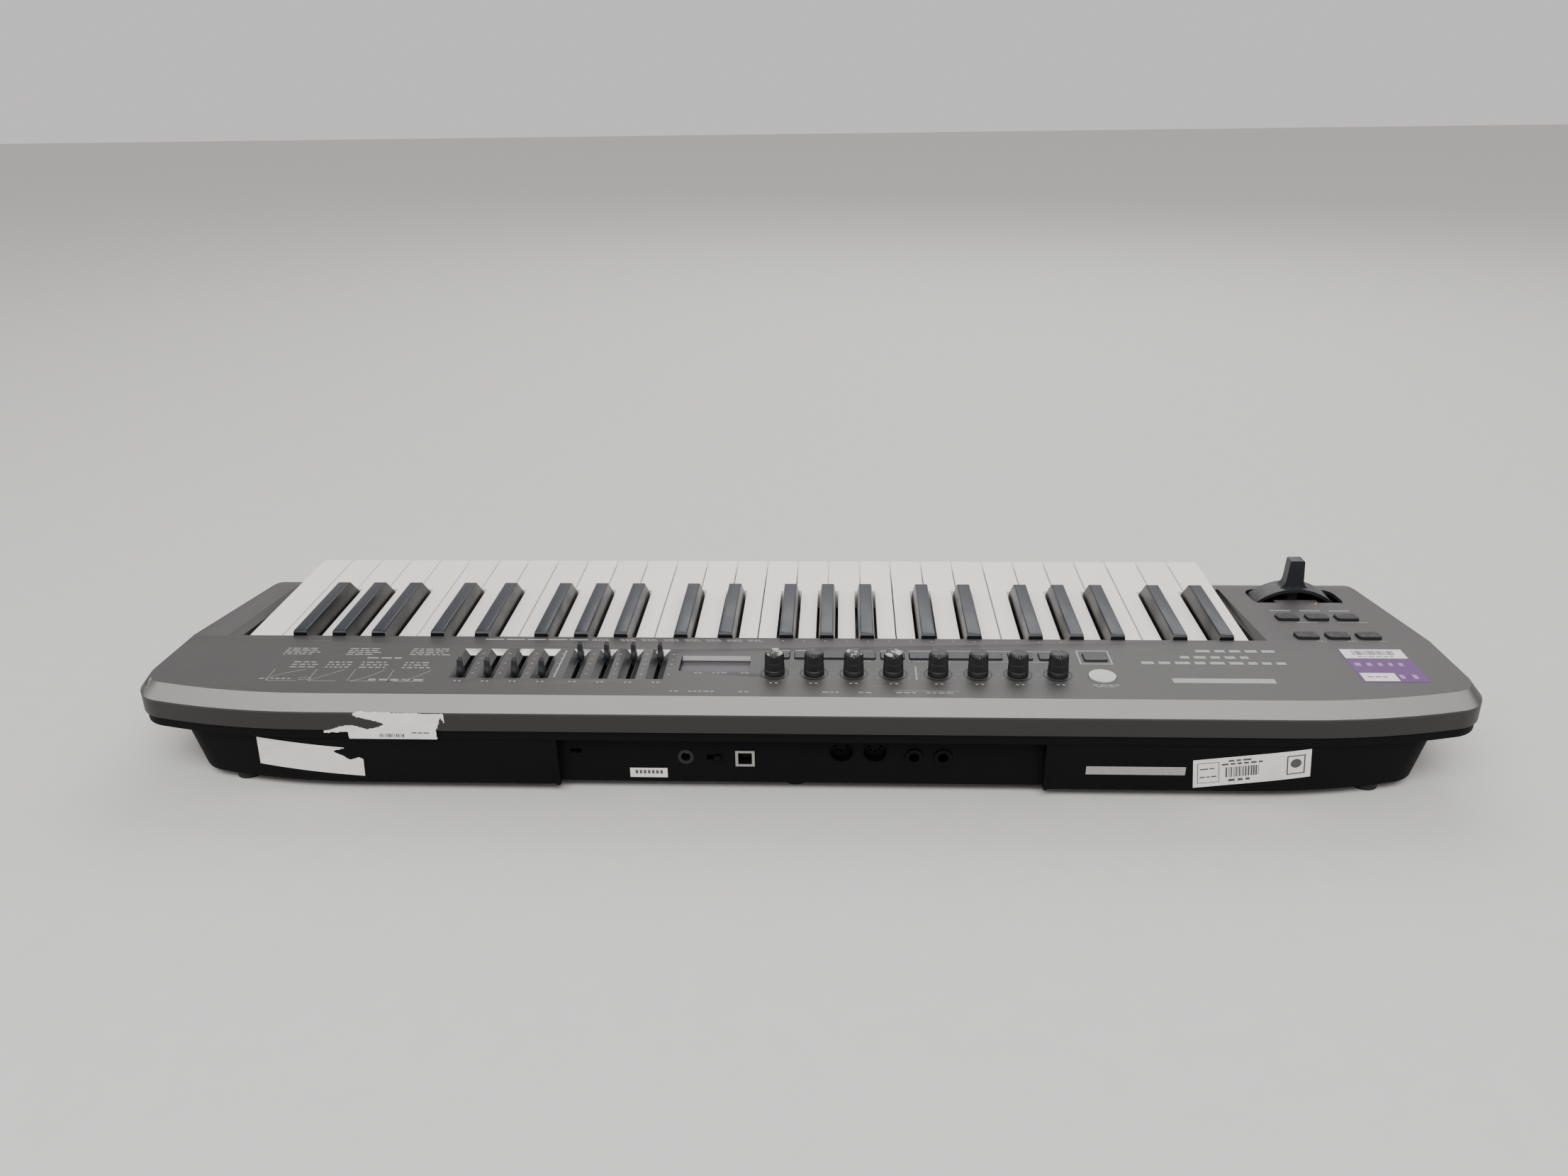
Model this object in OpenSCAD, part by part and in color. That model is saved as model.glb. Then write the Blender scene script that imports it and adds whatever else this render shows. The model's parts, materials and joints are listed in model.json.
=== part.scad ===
// A 49-key desktop keyboard controller: a grey top case with a control panel behind the keys,
// a black bottom tub with rear sockets, a hinged key bed, knobs, sliders, push buttons and a
// two-axis lever. +X is the player's right, -Y is the player's side, +Z is up.
// The origin is on the surface that the rubber feet stand on, under the middle of the case.

/* [Case] */
// Width of the case across the widest point
body_w = 840; // [800:5:900]
// Depth of the case from front rail to rear face
body_d = 246; // [240:1:260]
// Height of the flat control panel above the desk
panel_z = 68; // [66:0.5:72]
// Height of the joint between top and bottom cases along the rear
split_z = 46.5; // [44:0.5:48]
// Height of the underside of the tub above the desk
base_z = 6; // [5:0.5:8]
// Wall thickness of the moulded cases
wall = 2.5; // [2:0.1:3]
// Run of the sloping edge between panel and band, seen from above
bevel_run = 7.5; // [5:0.5:10]
// Height of the sloping edge
bevel_h = 9; // [6:0.5:11]

/* [Keys] */
// Width of one white key with its gap
key_pitch = 23.5; // [23:0.1:23.6]
// Number of white keys
white_keys = 29; // [29]
// Height of the white key tops above the desk
key_top_z = 60; // [59:0.5:61]
// Height of the black key tops above the white ones
black_rise = 11.5; // [10:0.5:12]
// Shift of the key bed towards the player's right
keys_x = 40; // [38:1:41]
// Distance from the front of a black key to the front of the white keys
black_setback = 57; // [52:1:60]
// Width of the gap between two white keys
key_gap = 1; // [0.8:0.1:1.4]

/* [Control panel] */
// Distance between neighbouring sliders
slider_pitch = 17.4; // [17:0.1:18]
// Slider travel from end to end
slider_travel = 30; // [26:1:30]
// Distance between neighbouring knobs
knob_pitch = 24.7; // [23:0.1:26]
// Height of a knob above the panel
knob_h = 15.4; // [12:0.2:16]
// Diameter of a knob at its foot
knob_d = 13; // [12:0.5:14]
// Width of a panel button
button_w = 15; // [14:0.5:15.5]
// Depth of a panel button
button_d = 9.7; // [9:0.1:11]

/* [Lever] */
// Middle of the lever across the case
lever_x = -355; // [-358:1:-352]
// Middle of the lever front to back
lever_y = -66; // [-67:1:-65]
// Radius of the saddle under the lever
saddle_r = 41; // [40:0.5:42]
// Height of the lever's tip above the desk
lever_top_z = 85; // [82:1:92]

/* [Hidden] */

eps = 0.01;
case_grey = "#6c6b6a";
tub_black = "#17171a";
control_black = "#222529";

// Plan of the case: half-width, curved rear corners and rounded front corners
half_w = body_w / 2;
rear_y = body_d / 2;
front_y = -body_d / 2;
sweep_start_x = 300;      // where the rear edge starts to sweep forward
sweep_r = 390;            // radius of that sweep
corner_r = 26;            // radius of the rear corner
corner_x = half_w - corner_r;
sweep_a = asin((corner_x + corner_r * 0.25 - sweep_start_x) / sweep_r);
sweep_end_x = sweep_start_x + sweep_r * sin(sweep_a);
sweep_end_y = rear_y - sweep_r * (1 - cos(sweep_a));
corner_cx = sweep_end_x - corner_r * sin(sweep_a);
corner_cy = sweep_end_y - corner_r * cos(sweep_a);
side_taper = 8.5;         // how much narrower the front is on each side
nose_r = 10;              // radius of the front corners in plan

// Side profile of the cheeks beside the keys: a gentle fall, then a rounded nose
deck_y = 34;              // front edge of the flat panel, over the key tails
deck_lap = 1;             // overlap of the two lengths of the case behind that edge
cheek_slope = tan(6.3);
nose_y = -80;             // where the nose starts to round down
nose_arc_r = 60;
nose_z = panel_z - cheek_slope * (deck_y - nose_y);
nose_end_a = 52;
split_slope = 0.105;      // fall of the case joint towards the front
band_min = 1.5;           // least height of the band above the joint at the nose

// Opening for the keys between the cheeks
keys_w = white_keys * key_pitch;
keys_left = keys_x - keys_w / 2;
keys_right = keys_x + keys_w / 2;
bed_gap = 1.6;
key_front_y = front_y + 3;
octave_w = 7 * key_pitch;

// Key hinge
pivot_y = 76;
pivot_z = 48;
pivot_d = 3;
pivot_clear = 0.08;
tail_w = 10;
tail_z0 = 43;
tail_z1 = 52;
skirt_z = key_top_z - 14;     // lower edge of a white key's side walls
lip_z = key_top_z - 20;       // lower edge of a white key's front lip
lip_d = 6;
key_wall = 1.7;
black_w = 11.6;               // foot of a black key
black_top_w = 9;
cut_w = 15;                   // width of the notch in the white keys for a black key
black_front_y = key_front_y + black_setback + 1;
notch_y = black_front_y - 1.2;
black_rear_y = deck_y - 0.8;
black_foot_z = key_top_z - 12;

// Shift of each black key from the joint of the white keys beside it
sharp_shift = 3.3;
// White keys: [index in the octave, black key on the left, black key on the right]
WHITE_C = [0, undef, -sharp_shift];
WHITE_D = [1, -sharp_shift, sharp_shift];
WHITE_E = [2, sharp_shift, undef];
WHITE_F = [3, undef, -sharp_shift];
WHITE_G = [4, -sharp_shift, 0];
WHITE_A = [5, 0, sharp_shift];
WHITE_B = [6, sharp_shift, undef];
octaves = 4;

// Panel controls
slider_x = [for (i = [0:7]) 213 - slider_pitch * i - (i > 3 ? 2.8 : 0)];
slider_mid_y = 73;
slider_rest = [for (i = [0:7]) i < 4 ? 11 : -12];
trough_top = [11.5, slider_travel + 11.5];
trough_foot = [3.6, slider_travel + 5.6];
trough_depth = 3.5;
slider_stem_w = 2.2;
slot_w = 2.9;
knob_x = [for (i = [0:7]) 13.2 - knob_pitch * i - (i > 3 ? 3.2 : 0)];
knob_y = 84.5;
button_x = [for (i = [0:9]) i < 6 ? 12.3 - 18.4 * i : -104.2 - 19.3 * (i - 6)];
button_y = 59.8;
square_xy = [-190, 60];
square_size = [14.6, 11];
disc_xy = [-190, 86.3];
disc_d = 16.7;
cap_rise = 1.2;
cap_gap = 0.35;
lcd_xy = [51.8, 71.8];
lcd_size = [45, 21.8];
lcd_glass_z = panel_z - 4;
board_z = 53.4;
board_t = 1.6;

// Cheek buttons: two rows of three on the slope
cheek_x = [-334.3, -354.3, -374.2];
cheek_rows = [-12.2, 25.6];
cheek_cap = [14.4, 10.6];

// Lever
lever_open = [63, 39];
lever_open_y = -60.5;
lever_pivot_z = 24;
saddle_t = 2.5;
saddle_half_a = 45;
saddle_y = 9;
lever_w = 10.4;
lever_d = 8;
yoke_in = [16, 15];
yoke_out = [24, 25];
yoke_h = 8;
pin_d = 3;
pin_clear = 0.08;

// Rear sockets: middle of each across the case and above the desk
rear_panel_x = [-153, 147];
rear_panel_y = 113;           // outer face of the recessed socket panel
socket_y = rear_panel_y - wall;
dc_xz = [68, 23.8];
switch_xz = [50.3, 23.4];
usb_xz = [31, 23.2];
midi_x = [-28.8, -49.6];
midi_z = 28.6;
jack_x = [-73.6, -91.4];
jack_z = 25.2;
lock_xz = [136.7, 27.5];
main_board_z = 11.4;
dc_d = 10;
midi_d = 16;
midi_bore = 14.2;
jack_nose_d = 11;
jack_bore = 6.5;
usb_size = [12, 11];
switch_slot = [9.4, 4.4];

// Bottom tub: a rim under the top case, then a tapered body
rim_inset = 1.5;
rim_h = 6.5;
flange_z = split_z - rim_h - 0.5;
tub_top = [792, 242];
tub_top_y = -0.5;
tub_foot = [776, 230];
tub_foot_y = 2.5;
feet_x = [-355, 0, 355];
feet_y = [-92, 98];
foot_d = 16;
screw_rows = [-70, 0, 66];
chassis_screw_x = [-250, -60, 140, 330];
chassis_screw_y = [-70, 30];
chamfer = 4;

// Key chassis and contacts
chassis_z = 24;
chassis_t = 1.2;
chassis_y = 86;            // rear face of the chassis
rail_z = 36.4;
board_y = [-34, 2];
contact_z = 30;
dome_h = 4.4;
plunger_y = [-18, -14];
white_rear_y = deck_y + 5;
SHARPS = [key_pitch - sharp_shift, 2 * key_pitch + sharp_shift, 4 * key_pitch - sharp_shift, 5 * key_pitch,
          6 * key_pitch + sharp_shift];

// Controls in section
pot_top_z = 62;
shaft_d = 6;
shaft_top_z = 79;
knob_lift = 0.8;
knob_top_d = 11.7;
button_travel = 0.8;
collar_z = 62.6;
flare_r = 9;

// ---------- shapes that are used more than once ----------

function side_x(y) = half_w - side_taper * (corner_cy - y) / (corner_cy - front_y);
function arc(cx, cy, r, a0, a1, n) = [for (i = [0:n]) let (a = a0 + (a1 - a0) * i / n) [cx + r * cos(a), cy + r * sin(a)]];

// Right half of the plan, drawn t inside the case's outline, clockwise from rear to front
function plan_right(t) = concat(
    arc(sweep_start_x, rear_y - sweep_r, sweep_r - t, 90, 90 - sweep_a, 6),
    arc(corner_cx, corner_cy, corner_r - t, 90 - sweep_a - 6, 0, 7),
    arc(side_x(front_y + nose_r) - nose_r, front_y + nose_r, nose_r - t, 0, -90, 5)
);
function mirrored(points) = [for (i = [len(points) - 1:-1:0]) [-points[i][0], points[i][1]]];

module plan(t) polygon(concat(plan_right(t), mirrored(plan_right(t))));

// Half-width of the case at a distance y along its front part
function cheek_half_w(y) =
    y > front_y + nose_r ? side_x(y)
    : side_x(front_y + nose_r) - nose_r + sqrt(max(0, pow(nose_r, 2) - pow(front_y + nose_r - y, 2)));

// Top of the cheek at a distance y
function nose_a(y) = asin(min(1, (nose_y - y) / nose_arc_r + sin(6.3)));
function cheek_z(y) =
    y >= deck_y ? panel_z
    : y >= nose_y ? panel_z - cheek_slope * (deck_y - y)
    : nose_z - nose_arc_r * (cos(6.3) - cos(nose_a(y)));
function joint_z(y) = y >= deck_y ? split_z : split_z - split_slope * (deck_y - y);

// Stations along the front part where its cross-section is given
nose_end_y = nose_y - nose_arc_r * (sin(nose_end_a) - sin(6.3));
nose_steps = [for (i = [1:6]) nose_y - nose_arc_r * (sin(6.3 + (nose_end_a - 6.3) * i / 6) - sin(6.3))];
function stations(t) = concat(
    [deck_y + deck_lap, deck_y, 0, -40, nose_y],
    [for (y = nose_steps) if (y > front_y + t + 0.5) y],
    [front_y + t]
);

// One cross-section of the front part: inset from the outside by t, with its foot at the joint
function section(y, t, drop) =
    let (w = cheek_half_w(max(y - t, front_y + 0.5)) - t,
         z0 = joint_z(y) - drop,
         z2 = max(cheek_z(max(y, nose_end_y)) - t, z0 + band_min),
         z1 = max(z2 - bevel_h, z0 + band_min * 0.6))
    [[-w, y, z0], [-w, y, z1], [-(w - bevel_run), y, z2], [w - bevel_run, y, z2], [w, y, z1], [w, y, z0]];

// Solid that joins a list of rings with the same number of points
module loft(rings) {
    n = len(rings[0]);
    m = len(rings);
    sides = [for (j = [0:m - 2]) for (i = [0:n - 1])
        [j * n + i, j * n + (i + 1) % n, (j + 1) * n + (i + 1) % n, (j + 1) * n + i]];
    first = [[for (i = [n - 1:-1:0]) i]];
    last = [[for (i = [0:n - 1]) (m - 1) * n + i]];
    polyhedron([for (ring = rings) each ring], concat(sides, first, last));
}

// Block with a wide top and a narrow foot, both centred on the same point
module trough_block(top, foot, depth) {
    rings = [for (s = [[top, 1], [top, 0], [foot, -depth]])
        [[-s[0][0] / 2, -s[0][1] / 2, s[1]], [s[0][0] / 2, -s[0][1] / 2, s[1]],
         [s[0][0] / 2, s[0][1] / 2, s[1]], [-s[0][0] / 2, s[0][1] / 2, s[1]]]];
    loft(rings);
}

module block(x, y, z) translate([x[0], y[0], z[0]]) cube([x[1] - x[0], y[1] - y[0], z[1] - z[0]]);

// Plate with rounded corners, centred in plan
module rounded_plate(size, r, h) {
    pts = concat(
        arc(size[0] / 2 - r, size[1] / 2 - r, r, 0, 90, 4),
        arc(-size[0] / 2 + r, size[1] / 2 - r, r, 90, 180, 4),
        arc(-size[0] / 2 + r, -size[1] / 2 + r, r, 180, 270, 4),
        arc(size[0] / 2 - r, -size[1] / 2 + r, r, 270, 360, 4)
    );
    linear_extrude(h) polygon(pts);
}

module along_x(d, len) rotate([0, 90, 0]) cylinder(d = d, h = len, center = true, $fn = 32);
module along_y(d, len) rotate([90, 0, 0]) cylinder(d = d, h = len, center = true, $fn = 32);

// Everything below the case joint lowered by drop, as seen from the side
module below_joint(drop) rotate([90, 0, 90]) translate([0, 0, -500]) linear_extrude(1000)
    polygon([[-200, -50], [-200, joint_z(-200) - drop], [deck_y, split_z - drop], [200, split_z - drop], [200, -50]]);

// ---------- cases ----------

// The outside of the top case drawn t inside its surface, with its foot lowered by drop
module top_form(t, drop) {
    intersection() {
        hull() {
            translate([0, 0, split_z - drop]) linear_extrude(panel_z - bevel_h - split_z + drop - t * 0.4) plan(t);
            translate([0, 0, panel_z - t - eps]) linear_extrude(eps) plan(t + bevel_run);
        }
        block([-500, 500], [deck_y, 300], [-50, 200]);
    }
    loft([for (y = stations(t)) section(y, t, drop)]);
}

// Where the top case is hollow: behind the panel's front lip and inside each cheek
module top_hollows() {
    block([-500, 500], [deck_y + wall, 300], [-50, 200]);
    block([-500, keys_left - bed_gap - wall], [-200, deck_y + wall + 1], [-50, 200]);
    block([keys_right + bed_gap + wall, 500], [-200, deck_y + wall + 1], [-50, 200]);
}

// Upper edges of the two inner cheek walls, cut at 45 degrees along the slope
module inner_chamfer(x) intersection() {
    translate([x, deck_y, panel_z]) rotate([6.3, 0, 0]) rotate([0, 45, 0])
        cube([chamfer * sqrt(2), 2 * (deck_y - nose_y), chamfer * sqrt(2)], center = true);
    block([x - 10, x + 10], [-200, deck_y], [30, 100]);
}

module trough(x) translate([x, slider_mid_y, panel_z]) trough_block(trough_top, trough_foot, trough_depth);

module top_case() color(case_grey) difference() {
    union() {
        difference() {
            top_form(0, 0);
            intersection() {
                top_form(wall, 2);
                top_hollows();
            }
        }
        for (first = [0, 4])
            block([slider_x[first + 3] - 8.2, slider_x[first] + 8.2], [slider_mid_y - 24, slider_mid_y + 24],
                  [panel_z - wall - 2.3, panel_z - wall + 1]);
        translate([lcd_xy[0], lcd_xy[1], lcd_glass_z + 0.2])
            rounded_plate([lcd_size[0] + 3, lcd_size[1] + 3], 3, panel_z - lcd_glass_z - 1);
        for (side = [-1, 1], y = screw_rows)
            translate([side * (side_x(y) - 7), y, joint_z(y)]) cylinder(d = 10, h = 12, $fn = 32);
    }
    block([keys_left - bed_gap, keys_right + bed_gap], [-200, deck_y], [-50, 200]);
    block([keys_left - bed_gap, keys_right + bed_gap], [deck_y - 1, deck_y + wall + 1], [-50, key_top_z + 1.2]);
    inner_chamfer(keys_left - bed_gap);
    inner_chamfer(keys_right + bed_gap);
    for (x = slider_x) {
        trough(x);
        translate([x, slider_mid_y, 50]) rounded_plate([slot_w, trough_foot[1]], slot_w / 2 - 0.05, 30);
    }
    for (x = knob_x) translate([x, knob_y, 0]) {
        cylinder(d = 7.4, h = 100, $fn = 32);
        translate([0, 0, panel_z - 0.4]) difference() {
            cylinder(d = 17.6, h = 2, $fn = 48);
            translate([0, 0, -1]) cylinder(d = 16.6, h = 4, $fn = 48);
        }
    }
    for (x = button_x) translate([x, button_y, 50])
        rounded_plate([button_w + 2 * cap_gap, button_d + 2 * cap_gap], 1.2, 30);
    translate([square_xy[0], square_xy[1], 50])
        rounded_plate([square_size[0] + 2 * cap_gap, square_size[1] + 2 * cap_gap], 1.5, 30);
    translate([disc_xy[0], disc_xy[1], 50]) cylinder(d = disc_d + 2 * cap_gap, h = 30, $fn = 64);
    translate([lcd_xy[0], lcd_xy[1], 50]) rounded_plate(lcd_size, 1.8, 30);
    for (x = cheek_x, y = cheek_rows) translate([x, y, 40])
        rounded_plate([cheek_cap[0] + 2 * cap_gap, cheek_cap[1] + 2 * cap_gap + 0.3], 2.4, 40);
    translate([lever_x, lever_open_y, 35]) rounded_plate(lever_open, 12, 45);
    for (side = [-1, 1], y = screw_rows)
        translate([side * (side_x(y) - 7), y, joint_z(y) - 1]) cylinder(d = 2.8, h = 11, $fn = 32);
}

// Tapered body of the tub: t inside its surface, from z = foot up past the joint
module tub_form(t, foot) hull() {
    translate([0, tub_top_y, flange_z]) linear_extrude(30) scale([tub_top[0] / body_w, tub_top[1] / body_d]) plan(t);
    translate([0, tub_foot_y, foot]) linear_extrude(eps) scale([tub_foot[0] / body_w, tub_foot[1] / body_d]) plan(t);
}

// The rim that carries the top case, t inside its surface, between two depths below the joint
module tub_rim(t, upper, lower) intersection() {
    linear_extrude(100) plan(rim_inset + t);
    difference() {
        below_joint(upper);
        below_joint(lower);
    }
}

module rear_panel_cut() block(rear_panel_x, [rear_panel_y, 200], [base_z - 1, split_z - rim_h - 0.8]);

module bottom_case() color(tub_black) difference() {
    union() {
        difference() {
            union() {
                tub_rim(0, 0, rim_h);
                intersection() {
                    tub_form(0, base_z);
                    below_joint(1);
                }
            }
            tub_rim(wall, -1, rim_h - wall);
            tub_form(wall, base_z + wall);
        }
        // socket panel set back from the rear face, with its ceiling and cheeks
        block([rear_panel_x[0] - wall, rear_panel_x[1] + wall], [socket_y, rear_panel_y + 6],
              [base_z, split_z - rim_h + 1]);
        // rail in front of the keys
        block([keys_left - bed_gap, keys_right + bed_gap], [front_y, front_y + 2.2], [base_z + 15, 36]);
        // posts that carry the key chassis
        for (x = chassis_screw_x, y = chassis_screw_y)
            translate([x, y, base_z + 0.5]) cylinder(d = 9, h = chassis_z - base_z - 0.5, $fn = 32);
    }
    rear_panel_cut();
    // room for the key fronts as they go down
    block([keys_left - bed_gap, keys_right + bed_gap], [front_y + 2.2, front_y + 24], [lip_z - 13, 100]);
    // socket openings
    translate([dc_xz[0], 0, dc_xz[1]]) rear_hole(dc_d + 0.4);
    for (x = midi_x) translate([x, 0, midi_z]) rear_hole(midi_d + 0.4);
    for (x = jack_x) translate([x, 0, jack_z]) rear_hole(jack_nose_d + 0.4);
    rear_window(usb_xz, [usb_size[0] + 0.6, usb_size[1] + 0.6]);
    rear_window(switch_xz, [switch_slot[0], switch_slot[1]]);
    rear_window(lock_xz, [7, 3]);
    for (x = feet_x, y = feet_y) translate([x, y, base_z - 1]) cylinder(d = foot_d + 0.4, h = 2, $fn = 48);
    for (side = [-1, 1], y = screw_rows)
        translate([side * (side_x(y) - 7), y, 0]) cylinder(d = 3.4, h = 60, $fn = 32);
    for (x = chassis_screw_x, y = chassis_screw_y)
        translate([x, y, chassis_z - 10]) cylinder(d = 3, h = 20, $fn = 32);
}

module rear_hole(d) translate([0, socket_y + 10, 0]) along_y(d, 30);
module rear_window(xz, size)
    block([xz[0] - size[0] / 2, xz[0] + size[0] / 2], [socket_y - 5, socket_y + 25],
          [xz[1] - size[1] / 2, xz[1] + size[1] / 2]);

module rubber_feet() color("#0e0e10") for (x = feet_x, y = feet_y)
    translate([x, y, 0]) cylinder(d = foot_d, h = base_z + 1, $fn = 48);

module screw(d, len, head_d, head_h) {
    cylinder(d = d, h = len, $fn = 32);
    translate([0, 0, -head_h]) cylinder(d = head_d, h = head_h, $fn = 32);
}

module case_screws() color("#3a3b3d") {
    for (side = [-1, 1], y = screw_rows)
        translate([side * (side_x(y) - 7), y, joint_z(y) - rim_h - 0.6]) screw(2.6, 15, 6, 2);
    for (x = chassis_screw_x, y = chassis_screw_y)
        translate([x, y, chassis_z + chassis_t]) mirror([0, 0, 1]) screw(2.8, 10, 6, 2);
}

// ---------- key bed ----------

module key_chassis() color("#9a9c9e") difference() {
    chassis_form();
    for (x = chassis_screw_x, y = chassis_screw_y)
        translate([x, y, chassis_z - 1]) cylinder(d = 3.2, h = chassis_t + 2, $fn = 32);
}

// Folded sheet with its guide rails, hinge lugs and rod
module chassis_form() {
    rotate([90, 0, 90]) translate([0, 0, keys_left - 1]) linear_extrude(keys_w + 2) polygon([
        [-110, chassis_z], [chassis_y, chassis_z], [chassis_y, 51], [chassis_y - chassis_t, 51],
        [chassis_y - chassis_t, chassis_z + chassis_t], [board_y[1], chassis_z + chassis_t],
        [board_y[1], contact_z], [board_y[1] - 4, contact_z], [board_y[1] - 4, chassis_z + chassis_t],
        [board_y[0] + 4, chassis_z + chassis_t], [board_y[0] + 4, contact_z], [board_y[0], contact_z],
        [board_y[0], chassis_z + chassis_t], [-104, chassis_z + chassis_t], [-104, rail_z], [-110, rail_z]
    ]);
    for (o = [0:octaves]) hinge_lug(keys_left + o * octave_w);
    hinge_lug(keys_left + octaves * octave_w + 19);
    translate([keys_x, pivot_y, pivot_z]) along_x(pivot_d, keys_w - 2);
}

module hinge_lug(x) block([x - 0.8, x + 0.8], [pivot_y - 5, chassis_y - 0.5], [chassis_z + 0.5, pivot_z + 4]);

module contact_board() {
    color("#2f6b45") block([keys_left + 6, keys_right - 6], board_y, [contact_z, contact_z + board_t]);
    color("#c9c9c4") for (o = [0:octaves], c = (o < octaves ? tail_x : [tail_x[0]]))
        translate([keys_left + o * octave_w + c, (board_y[0] + board_y[1]) / 2, contact_z + board_t])
            cylinder(d1 = 9, d2 = 5, h = dome_h, $fn = 24);
}

// Centre of the key tails across one octave
function tail_mid(left, right) = (left + right) / 2;
tail_x = [
    for (spec = [WHITE_C, WHITE_D, WHITE_E, WHITE_F, WHITE_G, WHITE_A, WHITE_B]) tail_mid(cut_left(spec), cut_right(spec)),
    for (c = SHARPS) c
];

function head_left(spec) = spec[0] * key_pitch + key_gap / 2;
function head_right(spec) = (spec[0] + 1) * key_pitch - key_gap / 2;
function cut_left(spec) = spec[1] == undef ? head_left(spec) : spec[0] * key_pitch + spec[1] + cut_w / 2;
function cut_right(spec) = spec[2] == undef ? head_right(spec) : (spec[0] + 1) * key_pitch + spec[2] - cut_w / 2;

// Plan of a white key drawn t inside its outline
module white_plan(spec, t) {
    l = head_left(spec) + t;
    r = head_right(spec) - t;
    cl = cut_left(spec) + t;
    cr = cut_right(spec) - t;
    f = key_front_y + t;
    round_r = max(2.4 - t, 0.4);
    polygon(concat(
        arc(l + round_r, f + round_r, round_r, 180, 270, 4),
        arc(r - round_r, f + round_r, round_r, 270, 360, 4),
        [[r, notch_y - t], [cr, notch_y - t], [cr, white_rear_y], [cl, white_rear_y], [cl, notch_y - t], [l, notch_y - t]]
    ));
}

module key_tail(x, from_y) difference() {
    union() {
        block([x - tail_w / 2, x + tail_w / 2], [from_y, pivot_y], [tail_z0, tail_z1]);
        translate([x, pivot_y, pivot_z]) along_x(tail_z1 - tail_z0, tail_w);
    }
    translate([x, pivot_y, pivot_z]) along_x(pivot_d + 2 * pivot_clear, tail_w + 2);
}

module white_key(spec) color("#e9e7e0") {
    difference() {
        translate([0, 0, lip_z]) linear_extrude(key_top_z - lip_z) white_plan(spec, 0);
        block([-20, 200], [key_front_y + lip_d, white_rear_y + 1], [lip_z - 1, skirt_z]);
        intersection() {
            translate([0, 0, lip_z - 1]) linear_extrude(key_top_z - key_wall - lip_z - 0.3) white_plan(spec, key_wall);
            block([-20, 200], [-200, deck_y - 8], [0, 100]);
        }
    }
    key_tail(tail_mid(cut_left(spec), cut_right(spec)), deck_y - 7);
    plunger(tail_mid(cut_left(spec), cut_right(spec)), 41, key_top_z - key_wall);
}

// Rib that presses the rubber dome under a key
module plunger(x, z0, z1) block([x - 1.5, x + 1.5], plunger_y, [z0, z1]);

// A black key: a trapezium with rounded shoulders, cut by a sloping front
module black_key(c) color("#39404a") translate([c, 0, 0]) {
    difference() {
        intersection() {
            translate([0, black_rear_y, 0]) rotate([90, 0, 0]) linear_extrude(200) polygon(concat(
                [[-black_w / 2, black_foot_z], [black_w / 2, black_foot_z], [black_w / 2, key_top_z]],
                arc(black_top_w / 2 - 1.2, key_top_z + black_rise - 1.2, 1.2, 10, 90, 3),
                arc(-black_top_w / 2 + 1.2, key_top_z + black_rise - 1.2, 1.2, 90, 170, 3),
                [[-black_w / 2, key_top_z]]
            ));
            rotate([90, 0, 90]) translate([0, 0, -20]) linear_extrude(40) polygon(concat(
                [[black_rear_y, black_foot_z], [black_rear_y, key_top_z + black_rise - 1.6],
                 [black_rear_y - 1, key_top_z + black_rise - 0.5], [black_rear_y - 3, key_top_z + black_rise]],
                arc(black_front_y + 13.5, key_top_z + black_rise - 3, 3, 90, 140, 3),
                [[black_front_y, key_top_z - 2], [black_front_y, black_foot_z]]
            ));
        }
        block([-black_w / 2 + key_wall, black_w / 2 - key_wall], [black_front_y + 3, deck_y - 10],
              [black_foot_z - 1, key_top_z + 2]);
    }
    key_tail(0, deck_y - 9);
    plunger(0, 42, key_top_z + 3);
}

module white_keys_of(spec, count)
    for (o = [0:count - 1]) translate([keys_left + o * octave_w, 0, 0]) white_key(spec);
module black_keys_of(i)
    for (o = [0:octaves - 1]) translate([keys_left + o * octave_w, 0, 0]) black_key(SHARPS[i]);

module c_keys() {
    white_keys_of(WHITE_C, octaves);
    translate([keys_left + octaves * octave_w, 0, 0]) white_key([0, undef, undef]);
}

// ---------- electronics ----------

module main_board() color("#2f6b45") {
    block([rear_panel_x[0] + 4, rear_panel_x[1] - 4], [68, socket_y - 1], [main_board_z, main_board_z + board_t]);
    for (x = [-120, -20, 90]) block([x - 4, x + 4], [72, 80], [base_z + wall, main_board_z]);
    block([switch_xz[0] - 8, switch_xz[0] + 8], [socket_y - 12, socket_y - 4.3], [main_board_z + 0.5, switch_xz[1] + 4]);
}

// Board under the cheek buttons, with a rubber dome below each
module cheek_board() {
    block([cheek_x[2] - 10, cheek_x[0] + 10], [cheek_rows[0] - 10, cheek_rows[1] + 10], [50.4, 50.4 + board_t]);
    for (x = cheek_x, y = cheek_rows) translate([x, y, 51.5]) cylinder(d = 6, h = cheek_z(y) - 60.2, $fn = 32);
}

module panel_board() color("#2f6b45") difference() {
    union() {
        block([-208, 230], [46, 112], [board_z, board_z + board_t]);
        for (x = button_x) switch_body([x, button_y]);
        switch_body(square_xy);
        switch_body(disc_xy);
        cheek_board();
    }
    translate([lcd_xy[0], lcd_xy[1], board_z - 1]) rounded_plate([8, 4], 1, 5);
}
module switch_body(xy) block([xy[0] - 3, xy[0] + 3], [xy[1] - 3, xy[1] + 3], [board_z + 0.5, board_z + board_t + 3.5]);

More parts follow.
